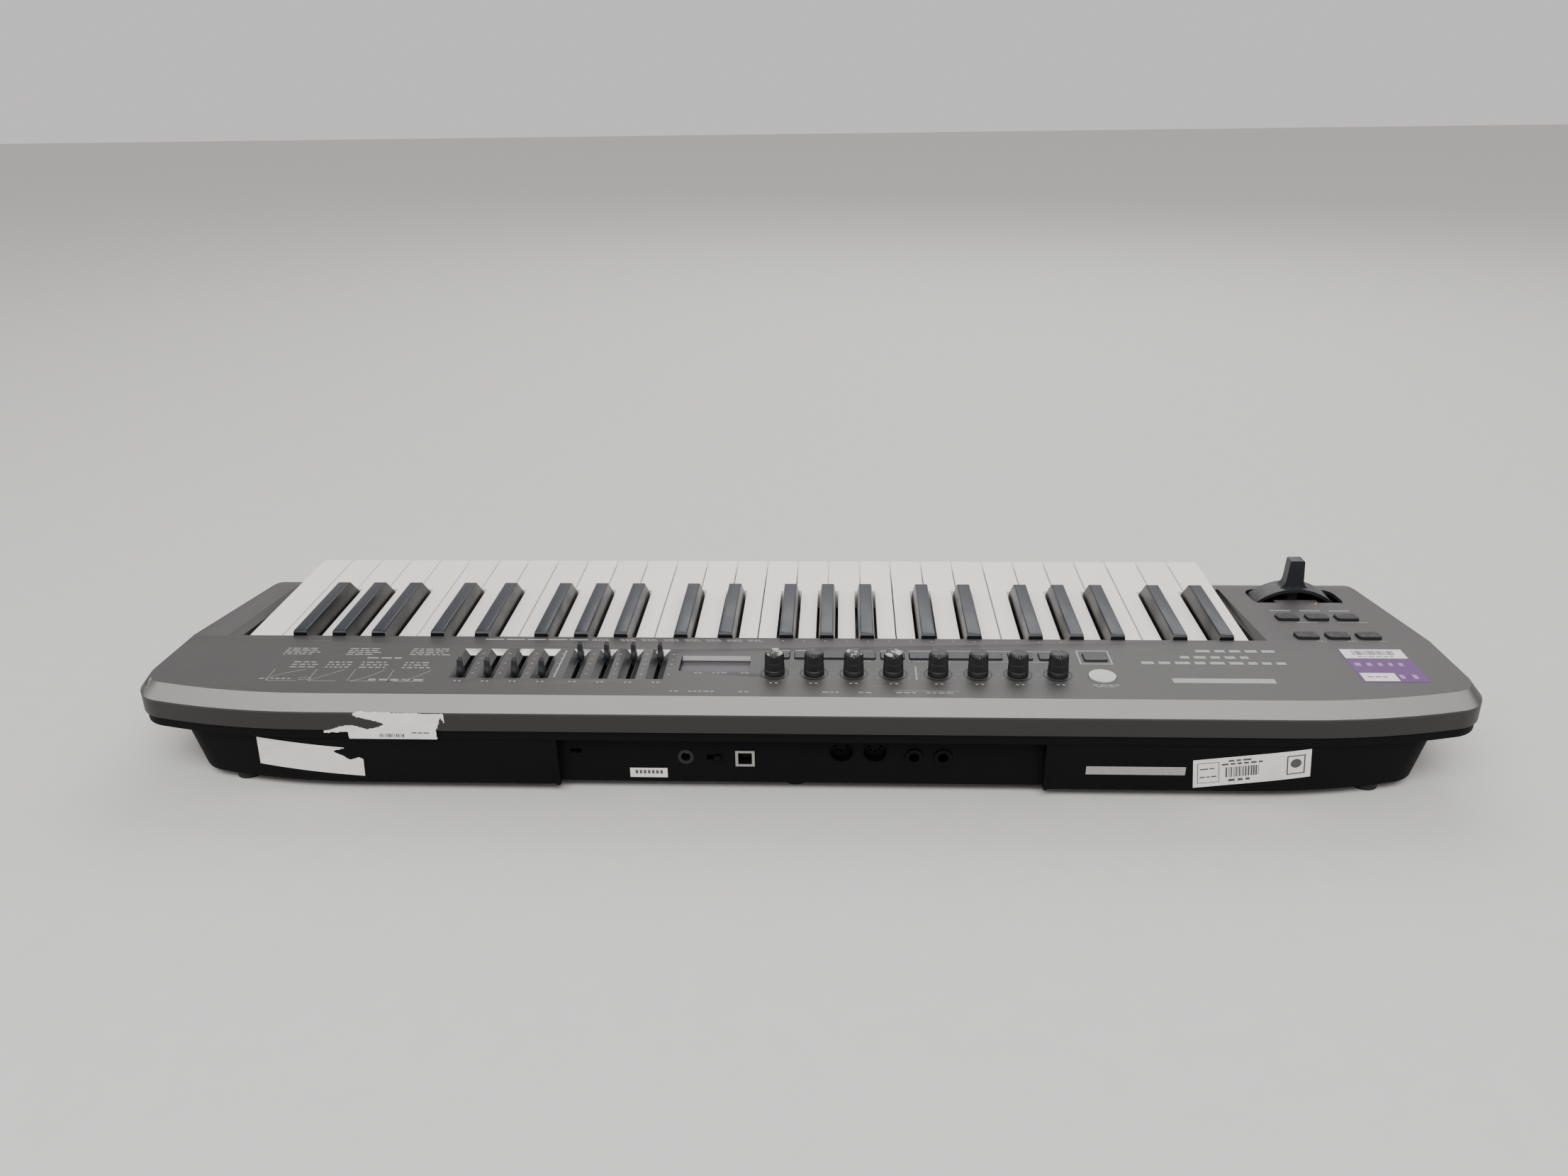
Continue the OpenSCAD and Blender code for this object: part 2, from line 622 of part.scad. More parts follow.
module panel_pots() color("#b9bbbd") {
    for (x = slider_x) difference() {
        block([x - 4.5, x + 4.5], [slider_mid_y - 23.5, slider_mid_y + 23.5], [board_z + board_t, pot_top_z]);
        block([x - 1.9, x + 1.9], [slider_mid_y - 19, slider_mid_y + 19], [pot_top_z - 4.2, pot_top_z + 1]);
    }
    for (x = knob_x) {
        block([x - 5, x + 5], [knob_y - 5.5, knob_y + 6.5], [board_z + board_t, pot_top_z]);
        translate([x, knob_y, pot_top_z - 0.5]) cylinder(d = shaft_d, h = shaft_top_z - pot_top_z + 0.5, $fn = 32);
    }
}

module display_module() {
    color("#3b3742") translate([lcd_xy[0], lcd_xy[1], lcd_glass_z - 2]) rounded_plate([lcd_size[0] + 2, lcd_size[1] + 2], 2, 2);
    color("#1d1f22") block([lcd_xy[0] - 26, lcd_xy[0] + 26], [lcd_xy[1] - 14.5, lcd_xy[1] + 14.5],
                           [board_z + board_t, lcd_glass_z - 2]);
}

module usb_socket() color("#c8cacc") translate([usb_xz[0], 0, usb_xz[1]]) {
    difference() {
        block([-usb_size[0] / 2, usb_size[0] / 2], [rear_panel_y - 17, rear_panel_y + 0.8], [-usb_size[1] / 2, usb_size[1] / 2]);
        block([-4.3, 4.3], [rear_panel_y - 10, rear_panel_y + 2], [-4, 4]);
    }
    block([-2.8, 2.8], [rear_panel_y - 12, rear_panel_y - 4.2], [-1.6, 1.6]);
}

module dc_jack() color("#1a1b1d") translate([dc_xz[0], 0, dc_xz[1]]) {
    difference() {
        union() {
            block([-5, 5], [rear_panel_y - 15, socket_y - 0.2], [main_board_z + board_t - dc_xz[1], 5.5]);
            translate([0, socket_y, 0]) along_y(dc_d, 5.4);
        }
        translate([0, rear_panel_y, 0]) along_y(5.9, 10);
        translate([0, rear_panel_y - 5, 0]) along_y(5.4, 14);
    }
    translate([0, rear_panel_y - 9.75, 0]) along_y(2, 8.5);
}

module midi_sockets() color("#1a1b1d") for (x = midi_x) translate([x, 0, midi_z]) {
    difference() {
        union() {
            block([-9.2, 9.2], [rear_panel_y - 16, socket_y - 0.2], [main_board_z + board_t - midi_z, 9]);
            translate([0, socket_y, 0]) along_y(midi_d, 5.4);
        }
        translate([0, rear_panel_y + 5, 0]) along_y(midi_bore, 20);
        for (a = [0:45:180]) translate([3.75 * cos(a), rear_panel_y - 8, -3.75 * sin(a) + 1.2]) along_y(1.5, 10);
    }
}

module pedal_jacks() color("#1a1b1d") for (x = jack_x) translate([x, 0, jack_z]) difference() {
    union() {
        block([-7.6, 7.6], [rear_panel_y - 26, socket_y - 0.2], [main_board_z + board_t - jack_z, 7.2]);
        translate([0, socket_y + 0.5, 0]) along_y(jack_nose_d, 6.4);
    }
    translate([0, rear_panel_y - 10, 0]) along_y(jack_bore, 30);
}

// Slider of the power switch, at rest at the end of its slot nearest the USB socket
module power_switch() color("#1a1b1d") translate([switch_xz[0] - 2.2, 0, switch_xz[1]]) {
    block([-2.2, 2.2], [socket_y - 4, rear_panel_y + 1.6], [-1.9, 1.9]);
    block([-7.2, 7.2], [socket_y - 4, socket_y - 1], [-3.4, 3.4]);
}

// ---------- panel controls ----------

module knob(i) color(control_black) translate([knob_x[i], knob_y, panel_z + knob_lift]) difference() {
    rotate_extrude($fn = 64) polygon([
        [0, 0], [knob_d / 2, 0], [knob_d / 2 - 0.1, 3], [knob_top_d / 2 + 0.15, knob_h - knob_lift - 1.6],
        [knob_top_d / 2 - 0.3, knob_h - knob_lift - 0.5], [knob_top_d / 2 - 1.2, knob_h - knob_lift], [0, knob_h - knob_lift]
    ]);
    translate([0, 0, -1]) cylinder(d = shaft_d + 0.16, h = shaft_top_z - panel_z - knob_lift + 1.4, $fn = 32);
    translate([0, knob_top_d / 2 + 1.2, knob_h - knob_lift]) rotate([45, 0, 0]) cube([1.2, 3.2, 3.2], center = true);
}

module slider(i) color(control_black) translate([slider_x[i], slider_mid_y + slider_rest[i], 0]) {
    rotate([90, 0, 90]) translate([0, 0, -2]) linear_extrude(4) polygon([
        [-3.4, 66.2], [3.4, 66.2], [3.6, 71], [3, 76.2], [2.3, 77], [-2.3, 77], [-3, 76.2], [-3.6, 71]
    ]);
    block([-slider_stem_w / 2, slider_stem_w / 2], [-2, 2], [pot_top_z - 0.8, 67]);
}

// A push button: a cap, a collar that keeps it under the panel, and a stem over its switch
module button_form(size, r, top_z) {
    translate([0, 0, collar_z]) rounded_plate(size, r, top_z - collar_z);
    translate([0, 0, collar_z]) rounded_plate([size[0] + 2, size[1] + 2], r + 0.5, 1.4);
    block([-1.5, 1.5], [-1.5, 1.5], [board_z + board_t + 3.5 + button_travel + 0.1, collar_z + 0.5]);
}

module panel_button(i) color(control_black) translate([button_x[i], button_y, 0])
    button_form([button_w, button_d], 1, panel_z + cap_rise);
module square_button() color(control_black) translate([square_xy[0], square_xy[1], 0])
    button_form(square_size, 1.3, panel_z + cap_rise);
module disc_button() color("#bdbdbb") translate([disc_xy[0], disc_xy[1], 0]) {
    translate([0, 0, collar_z]) cylinder(d = disc_d, h = panel_z + 0.8 - collar_z, $fn = 64);
    translate([0, 0, collar_z]) cylinder(d = disc_d + 2.4, h = 1.4, $fn = 64);
    block([-1.5, 1.5], [-1.5, 1.5], [board_z + board_t + 3.5 + button_travel + 0.1, collar_z + 0.5]);
}

// One row of the rubber buttons on the cheek: three caps on a thin web under the case
module cheek_row(y) color(control_black) {
    top = cheek_z(y) + 1.9;
    for (x = cheek_x) translate([x, y, 0]) intersection() {
        translate([0, 0, top - 9]) rounded_plate(cheek_cap, 2, 20);
        translate([0, 0, top]) rotate([6.3, 0, 0]) translate([-20, -20, -14]) cube([40, 40, 14]);
    }
    block([cheek_x[2] - 8.2, cheek_x[0] + 8.2], [y - 7, y + 7], [top - 9.4, top - 8]);
}

// ---------- lever ----------

module lever_base() color("#2a2d30") translate([lever_x, lever_y, 0]) difference() {
    union() {
        // plate behind the saddle, just below the cheek's surface and parallel to it, with a tongue under the arch
        intersection() {
            translate([0, 24.8, cheek_z(lever_y + 24.8) - 1.3]) rotate([6.3, 0, 0]) {
                block([-31, 31], [-9.8, 0], [-2, 0]);
                block([-15, 15], [-15.8, 0], [-2, 0]);
            }
            translate([0, lever_open_y - lever_y, 30]) rounded_plate([lever_open[0] - 1, lever_open[1] - 1], 11.5, 40);
        }
        block([-22, 44], [23, 27], [base_z + wall, 56.6]);
        block([-22, 44], [-17, -14], [base_z + wall, 38]);
        for (x = [-20.5, 42.5]) block([x - 1.5, x + 1.5], [-17, 27], [base_z + wall, base_z + wall + 6]);
        block([-6, 6], [-17, -13.4], [base_z + wall, lever_pivot_z + 6]);
        block([-6, 6], [13.4, 17], [base_z + wall, lever_pivot_z + 6]);
        block([-6, 6], [13.4, 27], [base_z + wall, base_z + wall + 3]);
    }
    for (y = [-14, 14]) translate([0, y, lever_pivot_z]) along_y(pin_d + 2 * pin_clear, 10);
}

module lever_yoke() color("#8f9295") translate([lever_x, lever_y, lever_pivot_z]) {
    difference() {
        block([-yoke_out[0] / 2, yoke_out[0] / 2], [-yoke_out[1] / 2, yoke_out[1] / 2], [-yoke_h / 2, yoke_h / 2]);
        block([-yoke_in[0] / 2, yoke_in[0] / 2], [-yoke_in[1] / 2, yoke_in[1] / 2], [-yoke_h, yoke_h]);
        along_x(pin_d + 2 * pin_clear, 40);
    }
    for (side = [-1, 1]) translate([0, side * (yoke_out[1] / 2 + 1.5), 0]) along_y(pin_d, 4);
}

module lever_stick() color(control_black) translate([lever_x, lever_y, lever_pivot_z]) {
    difference() {
        intersection() {
            along_y(2 * saddle_r, 2 * saddle_y);
            rotate([90, 0, 0]) translate([0, 0, -30]) linear_extrude(60) polygon([
                [0, 0], [60 * sin(saddle_half_a), 60 * cos(saddle_half_a)], [0, 90],
                [-60 * sin(saddle_half_a), 60 * cos(saddle_half_a)]
            ]);
        }
        along_y(2 * (saddle_r - saddle_t), 60);
    }
    lever_blade(tip_z = lever_top_z - lever_pivot_z);
    block([-3.5, 3.5], [-3.5, 3.5], [0, saddle_r - saddle_t + 1]);
    along_x(7.5, 10);
    along_x(pin_d, yoke_out[0] - 1);
}

// The finger blade, which flares into the saddle with a hollow curve on each side
module lever_blade(tip_z) rotate([90, 0, 0]) translate([0, 0, -lever_d / 2 - 0.5]) linear_extrude(lever_d + 1) polygon(concat(
    arc(lever_w / 2 - 1.2, tip_z - 1.2, 1.2, 0, 90, 3),
    arc(-lever_w / 2 + 1.2, tip_z - 1.2, 1.2, 90, 180, 3),
    arc(-lever_w / 2 - 1 - flare_r, saddle_r + flare_r - 3, flare_r, 0, -70, 6),
    [[-flare_r - 2, saddle_r - 4], [flare_r + 2, saddle_r - 4]],
    arc(lever_w / 2 + 1 + flare_r, saddle_r + flare_r - 3, flare_r, -110, -180, 6)
));

top_case();
bottom_case();
key_chassis();
contact_board();
main_board();
panel_board();
panel_pots();
display_module();
usb_socket();
dc_jack();
midi_sockets();
pedal_jacks();
rubber_feet();
case_screws();
lever_base();
c_keys();
white_keys_of(WHITE_D, octaves);  // d_keys
white_keys_of(WHITE_E, octaves);  // e_keys
white_keys_of(WHITE_F, octaves);  // f_keys
white_keys_of(WHITE_G, octaves);  // g_keys
white_keys_of(WHITE_A, octaves);  // a_keys
white_keys_of(WHITE_B, octaves);  // b_keys
black_keys_of(0);  // c_sharp_keys
black_keys_of(1);  // d_sharp_keys
black_keys_of(2);  // f_sharp_keys
black_keys_of(3);  // g_sharp_keys
black_keys_of(4);  // a_sharp_keys
for (i = [0:7]) knob(i);
for (i = [0:7]) slider(i);
for (i = [0:9]) panel_button(i);
square_button();
disc_button();
cheek_row(cheek_rows[0]);  // cheek_buttons_front
cheek_row(cheek_rows[1]);  // cheek_buttons_rear
lever_yoke();
lever_stick();
power_switch();
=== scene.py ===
# %% [markdown]
# # A desktop keyboard controller
# The object is a flat keyboard for playing music into a computer: a grey case over a black tub, 49 keys,
# a panel of knobs, sliders and buttons behind them, and a sprung lever on the player's left.
# The CAD model gives every shape its place and its joint. This notebook gives each piece its soft edges,
# its printing and its finish, and then lights it and points a camera at it.

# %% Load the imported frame
import bpy
import bmesh
import json
import math
import random
from mathutils import Matrix, Vector

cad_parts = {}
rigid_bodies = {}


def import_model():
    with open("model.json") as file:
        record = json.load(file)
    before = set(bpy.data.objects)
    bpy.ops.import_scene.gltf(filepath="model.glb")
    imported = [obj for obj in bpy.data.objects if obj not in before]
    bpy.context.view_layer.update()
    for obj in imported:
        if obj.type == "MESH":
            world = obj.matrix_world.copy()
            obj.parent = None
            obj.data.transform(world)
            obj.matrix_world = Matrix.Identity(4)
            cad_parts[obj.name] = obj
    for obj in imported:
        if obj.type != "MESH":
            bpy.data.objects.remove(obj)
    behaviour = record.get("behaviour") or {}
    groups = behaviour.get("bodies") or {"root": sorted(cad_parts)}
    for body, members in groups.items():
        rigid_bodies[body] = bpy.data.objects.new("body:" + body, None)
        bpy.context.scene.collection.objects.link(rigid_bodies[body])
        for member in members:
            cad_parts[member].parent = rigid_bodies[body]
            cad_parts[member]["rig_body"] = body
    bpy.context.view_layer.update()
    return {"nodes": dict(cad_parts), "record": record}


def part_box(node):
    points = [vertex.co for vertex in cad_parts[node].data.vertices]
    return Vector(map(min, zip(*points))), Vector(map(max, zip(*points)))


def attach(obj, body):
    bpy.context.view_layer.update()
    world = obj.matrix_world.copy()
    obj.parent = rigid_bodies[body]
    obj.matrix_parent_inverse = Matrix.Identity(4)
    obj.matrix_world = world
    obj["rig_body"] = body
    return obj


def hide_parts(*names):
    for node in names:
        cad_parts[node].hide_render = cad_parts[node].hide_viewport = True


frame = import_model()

MM = 0.001
scene = bpy.context.scene

# %% [markdown]
# ## Sums on sockets
# A finish is mostly arithmetic: a mask times a colour, a noise plus a slope. Wiring each Math node by hand
# hides that, so a small class wraps a socket and lets it stand in an ordinary Python expression.

# %% Wrap a socket so that it can be used in sums
class Signal:
    """A number that varies over a surface."""

    def __init__(self, finish, socket):
        self.finish = finish
        self.socket = socket

    def math(self, operation, *others):
        inputs = dict(enumerate((self, *others)))
        return self.finish.node("ShaderNodeMath", {"operation": operation}, inputs)

    def __add__(self, other): return self.math("ADD", other)
    def __radd__(self, other): return self.math("ADD", other)
    def __sub__(self, other): return self.math("SUBTRACT", other)
    def __rsub__(self, other): return (self * -1).math("ADD", other)
    def __mul__(self, other): return self.math("MULTIPLY", other)
    def __rmul__(self, other): return self.math("MULTIPLY", other)

    def smooth(self, start, end):
        """0 below start, 1 above end, with a soft step between them; start may be the higher one."""
        low, high, to_low, to_high = (start, end, 0, 1) if start < end else (end, start, 1, 0)
        return self.finish.node("ShaderNodeMapRange", {"interpolation_type": "SMOOTHSTEP"},
                                {0: self, 1: low, 2: high, 3: to_low, 4: to_high})


class Finish:
    """A material that is built from a Principled shader and any nodes that feed it."""

    def __init__(self, name, roughness=0.5, metallic=0.0, **plain):
        self.material = bpy.data.materials.new(name)
        self.material.use_nodes = True
        self.tree = self.material.node_tree
        self.shader = self.tree.nodes["Principled BSDF"]
        self.set("Roughness", roughness)
        self.set("Metallic", metallic)
        for key, value in plain.items():
            self.set(key.replace("_", " "), value)

    def feed(self, socket, value):
        if isinstance(value, Signal):
            self.tree.links.new(value.socket, socket)
        elif socket.type == "RGBA" and len(value) == 3:
            socket.default_value = (*value, 1)
        else:
            socket.default_value = value

    def set(self, name, value):
        self.feed(self.shader.inputs[name], value)
        return self

    def node(self, kind, settings=None, inputs=None, output=0):
        made = self.tree.nodes.new(kind)
        for key, value in (settings or {}).items():
            setattr(made, key, value)
        for key, value in (inputs or {}).items():
            self.feed(made.inputs[key], value)
        return Signal(self, made.outputs[output])

    def place(self, scale=(1, 1, 1), shift=(0, 0, 0)):
        """Object coordinates, in metres, stretched and shifted."""
        where = self.node("ShaderNodeTexCoord", output="Object")
        return self.node("ShaderNodeMapping", {}, {"Vector": where, "Scale": scale, "Location": shift})

    def axis(self, letter):
        where = self.node("ShaderNodeTexCoord", output="Object")
        return self.node("ShaderNodeSeparateXYZ", {}, {0: where}, "XYZ".index(letter))

    def facing(self, letter):
        normal = self.node("ShaderNodeNewGeometry", output="Normal")
        return self.node("ShaderNodeSeparateXYZ", {}, {0: normal}, "XYZ".index(letter))

    def noise(self, size, detail=3, stretch=(1, 1, 1), shift=(0, 0, 0)):
        """Cloudy noise from 0 to 1, with patches about size metres across."""
        return self.node("ShaderNodeTexNoise", {}, {"Vector": self.place(stretch, shift), "Scale": 1 / size,
                                                    "Detail": detail})

    def mix(self, share, first, second, blend="MIX"):
        return self.node("ShaderNodeMix", {"data_type": "RGBA", "blend_type": blend},
                         {0: share, 6: first, 7: second}, 2)

    def bump(self, height, depth):
        """Raises the surface by height times depth, in metres."""
        raised = self.node("ShaderNodeBump", {}, {"Height": height, "Distance": depth, "Strength": 1.0})
        return self.set("Normal", raised)


print("helpers for finishes are ready")

# %% [markdown]
# ## The camera
# The keyboard is seen from behind and above, as it lies on the floor with its sockets towards the viewer.
# The camera's three axes are written out, so nothing depends on a target point.

# %% Make the camera
VIEW_RIGHT = Vector((-0.998981, -0.042716, -0.014555))
VIEW_UP = Vector((0.003695, -0.398877, 0.916997))
VIEW_BACK = Vector((-0.044977, 0.916009, 0.398629))
VIEW_FROM = Vector((-0.0279, 0.7853, 0.4312))
LENS = 28.85
camera = bpy.data.objects.new("camera", bpy.data.cameras.new("camera"))
scene.collection.objects.link(camera)
camera.matrix_world = Matrix([[VIEW_RIGHT[i], VIEW_UP[i], VIEW_BACK[i], VIEW_FROM[i]]
                              for i in range(3)] + [[0, 0, 0, 1]])
camera.data.sensor_width = 36
camera.data.lens = LENS
camera.data.clip_start, camera.data.clip_end = 0.01, 50
scene.camera = camera
print("camera lens", camera.data.lens, "mm")

# %% [markdown]
# ## The case finish
# The case is moulded in plastic and sprayed with a warm grey paint that has fine metal flakes in it. The
# flakes make it sparkle finely. The sloping rear edge is painted much lighter than the top, a painted
# highlight. The wall below that edge is darkened by a mask on the surface's direction, a painted shade.
# Two more masks pick out the troughs that the sliders run in: a painted highlight on their end walls and
# painted shade on their floors.

# %% Case paint
PANEL_Z = 68 * MM
SLOPE_FOOT_Z = 58 * MM
END_WALL_FOOT_Z = 64.4 * MM
TROUGH_FLOOR_Z = 63 * MM
TROUGH_FRONT_Y, TROUGH_BACK_Y = 45 * MM, 100 * MM
CASE_GREY = (0.068, 0.067, 0.066)
GRAIN = 0.45 * MM
paint = Finish("case_paint", metallic=0.35)
# painted shade: faces that stand upright
upright_shade = paint.facing("Z").smooth(0.45, 0.1)
rearward = paint.facing("Y").smooth(0.5, 0.7)
case_y = paint.axis("Y")
case_z = paint.axis("Z")
# painted highlight: the rearward faces of the sloping rear edge
slope_highlight = (rearward * case_z.smooth(SLOPE_FOOT_Z - 0.5 * MM, SLOPE_FOOT_Z + 0.5 * MM)
         * case_y.smooth(TROUGH_BACK_Y - 5 * MM, TROUGH_BACK_Y))
flakes = paint.noise(GRAIN, 2)
smears = paint.noise(0.06, 4, (1, 2.2, 1))
scuffs = paint.noise(0.012, 3, (0.25, 6, 2)).smooth(0.68, 0.78)
# painted highlight: the end walls of the slider troughs
trough_wall_highlight = (rearward * case_z.smooth(END_WALL_FOOT_Z - 0.2 * MM, END_WALL_FOOT_Z + 0.2 * MM)
               * case_z.smooth(PANEL_Z - 0.05 * MM, PANEL_Z - 0.1 * MM)
               * case_y.smooth(TROUGH_BACK_Y, TROUGH_BACK_Y - 5 * MM))
slider_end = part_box("slider_8")[0].x - 6 * MM
# painted shade: the recessed floors of the slider troughs
trough_floor_shade = paint.axis("X").smooth(slider_end - MM, slider_end) * (1 - trough_wall_highlight)
trough_floor_shade = (trough_floor_shade * case_z.smooth(PANEL_Z - 0.1 * MM, PANEL_Z - 0.4 * MM)
                * case_z.smooth(TROUGH_FLOOR_Z - 0.5 * MM, TROUGH_FLOOR_Z + 0.5 * MM)
                * case_y.smooth(TROUGH_BACK_Y, TROUGH_BACK_Y - 2 * MM)
                * case_y.smooth(TROUGH_FRONT_Y, TROUGH_FRONT_Y + 3 * MM))
grey = paint.mix(flakes.smooth(0.35, 0.7), [c * 0.86 for c in CASE_GREY], [c * 1.18 for c in CASE_GREY])
grey = paint.mix(smears.smooth(0.3, 0.75) * 0.12, grey, (0.10, 0.098, 0.096))
grey = paint.mix(scuffs * 0.10, grey, (0.4, 0.4, 0.4))
# painted highlight on the sloping rear edge
grey = paint.mix(slope_highlight * 0.8, grey, (0.345, 0.34, 0.332))
# painted shade on the upright faces of the case
grey = paint.mix(upright_shade * 0.85, grey, (0.018, 0.017, 0.0165))
# painted shade on the trough floors
grey = paint.mix(trough_floor_shade * 0.75, grey, (0.012, 0.012, 0.012))
# painted highlight on the trough end walls
grey = paint.mix(trough_wall_highlight * 0.9, grey, (0.78, 0.77, 0.76))
paint.set("Base Color", grey)
paint.set("Roughness", 0.40 + flakes * 0.12 + smears * 0.06 + slope_highlight * 0.12)
paint.bump(flakes, 0.03 * MM)
print("case paint has", len(paint.tree.nodes), "nodes")

# %% [markdown]
# ## Plastics, rubber and metal
# The other parts are moulded in their own colour. Each finish has the fine grain of its mould in bump and
# roughness, and the marks of handling: dust in the black tub, a yellow tint and flecks on the white keys,
# worn patches where fingers have rubbed the black ones. The tops of the black keys are painted lighter
# than their sides, a painted sheen, and the rubbed patches paler still, wear with a painted sheen.

# %% Black tub, controls and rubber
MOULD_DEPTH = 0.04 * MM


def moulded(name, colour, roughness, grain=0.0006, dust=0.0, dust_colour=(0.25, 0.24, 0.22), **plain):
    """A plastic in one colour, with a mould grain and a little dust."""
    made = Finish(name, **plain)
    grit = made.noise(grain, 3)
    cloud = made.noise(0.035, 5)
    shade = made.mix(cloud, [c * 0.8 for c in colour], [c * 1.25 for c in colour])
    settled = made.facing("Z").smooth(0.2, 0.9) * made.noise(0.004, 6).smooth(0.45, 0.75) * dust
    made.set("Base Color", made.mix(settled, shade, dust_colour))
    made.set("Roughness", roughness - 0.05 + grit * 0.1 + settled * 0.3)
    made.bump(grit, MOULD_DEPTH)
    return made


tub_black = moulded("tub_black", (0.0022, 0.0022, 0.0026), 0.68, grain=0.0008, dust=0.08,
                    Specular_IOR_Level=0.12)
control_black = moulded("control_black", (0.013, 0.014, 0.017), 0.42, dust=0.18)
button_dark = moulded("button_dark", (0.022, 0.024, 0.028), 0.48, dust=0.12)
button_rubber = moulded("button_rubber", (0.011, 0.012, 0.014), 0.62, dust=0.2)
socket_black = moulded("socket_black", (0.0016, 0.0016, 0.0019), 0.55, dust=0.02, Specular_IOR_Level=0.12)
foot_rubber = moulded("foot_rubber", (0.008, 0.008, 0.008), 0.8, dust=0.2)
disc_grey = moulded("disc_grey", (0.47, 0.465, 0.455), 0.4, dust=0.1, dust_colour=(0.3, 0.29, 0.27))
lever_grey = moulded("lever_grey", (0.06, 0.059, 0.058), 0.5, dust=0.1)
print("eight moulded finishes")

# %% White keys
KEY_PITCH = 23.5 * MM
keys_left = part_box("c_keys")[0].x
ivory = Finish("key_ivory", Coat_Weight=0.4, Coat_Roughness=0.12)
key_number = ivory.node("ShaderNodeMath", {"operation": "FLOOR"},
                        {0: (ivory.axis("X") - keys_left) * (1 / KEY_PITCH)})
own_tone = ivory.node("ShaderNodeTexWhiteNoise", {"noise_dimensions": "1D"}, {"W": key_number})
grime = ivory.noise(0.02, 5).smooth(0.5, 0.85)
fleck_patches = ivory.noise(0.045, 2, shift=(3, 1, 0)).smooth(0.5, 0.62)
flecks = ivory.noise(0.0016, 2, (1, 0.6, 1)).smooth(0.735, 0.76) * fleck_patches
streaks = ivory.noise(0.006, 3, (2.5, 0.25, 1)).smooth(0.55, 0.8)
cream = ivory.mix(own_tone, (0.90, 0.865, 0.80), (0.94, 0.915, 0.87))
cream = ivory.mix(grime * 0.22, cream, (0.70, 0.66, 0.58))
cream = ivory.mix(streaks * 0.12, cream, (0.66, 0.64, 0.60))
cream = ivory.mix(flecks * 0.75, cream, (0.16, 0.14, 0.12))
ivory.set("Base Color", cream)
ivory.set("Roughness", 0.28 + grime * 0.15 + flecks * 0.3)
ivory.bump(ivory.noise(0.01, 2), 0.03 * MM)

# %% Black keys
ebony = Finish("key_ebony", Coat_Weight=0.08, Coat_Roughness=0.2, Specular_IOR_Level=0.3)
on_top = ebony.facing("Z").smooth(0.6, 0.95)
rubbed_and_sheen = ebony.noise(0.014, 4, (1, 0.5, 1)).smooth(0.35, 0.75)
lint = ebony.noise(0.0011, 2).smooth(0.72, 0.78) * ebony.noise(0.03, 2).smooth(0.5, 0.65)
# painted sheen: the tops are lighter and bluer than the sides
blue_black = ebony.mix(on_top, (0.005, 0.0055, 0.007), (0.013, 0.0165, 0.023))
# wear with a painted sheen: rubbed patches on the tops are paler still
blue_black = ebony.mix(on_top * rubbed_and_sheen * 0.35, blue_black, (0.025, 0.031, 0.041))
ebony.set("Base Color", ebony.mix(lint * 0.5, blue_black, (0.3, 0.29, 0.27)))
ebony.set("Roughness", 0.3 + rubbed_and_sheen * 0.14)
ebony.bump(ebony.noise(0.0009, 2), 0.02 * MM)

# %% Metals, boards, window and paper
steel = Finish("sheet_steel", metallic=1.0)
rolled = steel.noise(0.002, 4, (0.06, 3, 3))
steel.set("Base Color", steel.mix(rolled, (0.46, 0.46, 0.47), (0.62, 0.62, 0.63)))
steel.set("Roughness", 0.3 + rolled * 0.2)

plated = Finish("plated_metal", metallic=1.0)
tarnish = plated.noise(0.004, 5)
plated.set("Base Color", plated.mix(tarnish.smooth(0.4, 0.8), (0.62, 0.60, 0.55), (0.40, 0.38, 0.34)))
plated.set("Roughness", 0.25 + tarnish * 0.2)

pot_cover = Finish("pot_cover", metallic=0.6)
worn = pot_cover.noise(0.004, 4)
pot_cover.set("Base Color", pot_cover.mix(worn, (0.018, 0.018, 0.019), (0.04, 0.04, 0.041)))
pot_cover.set("Roughness", 0.5 + worn * 0.15)

# The USB shell is painted dark inside its opening, a painted shade, so it is bright only at its rim; the
# power jack is black round a bright pin.
SHELL_RIM_Y = 113.6 * MM
usb_shell = Finish("usb_shell", metallic=0.8)
inside_shade = usb_shell.axis("Y").smooth(SHELL_RIM_Y, SHELL_RIM_Y - 0.5 * MM)
rim = usb_shell.mix(usb_shell.noise(0.003, 4), (0.5, 0.48, 0.44), (0.3, 0.29, 0.27))
# painted shade inside the opening of the shell
usb_shell.set("Base Color", usb_shell.mix(inside_shade, rim, (0.012, 0.012, 0.013)))
usb_shell.set("Roughness", 0.3 + inside_shade * 0.4)

JACK_Z = 23.8 * MM
# the square of the pin's radius, outside and inside its soft edge, in square metres
PIN_EDGE = (1.6e-6, 1.1e-6)
jack_black = Finish("power_jack")
jack_low, jack_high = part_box("dc_jack")
across = jack_black.axis("X") - (jack_low.x + jack_high.x) / 2
upward = jack_black.axis("Z") - JACK_Z
pin = (across * across + upward * upward).smooth(*PIN_EDGE)
jack_black.set("Base Color", jack_black.mix(pin, (0.003, 0.003, 0.0034), (0.6, 0.6, 0.58)))
jack_black.set("Metallic", pin)
jack_black.set("Roughness", 0.45 - pin * 0.2)

board_green = Finish("board_green", Coat_Weight=0.5)
track = board_green.noise(0.003, 1, (1, 4, 1)).smooth(0.5, 0.54)
board_green.set("Base Color", board_green.mix(track, (0.02, 0.12, 0.045), (0.035, 0.19, 0.07)))
board_green.set("Roughness", 0.4 - track * 0.1)

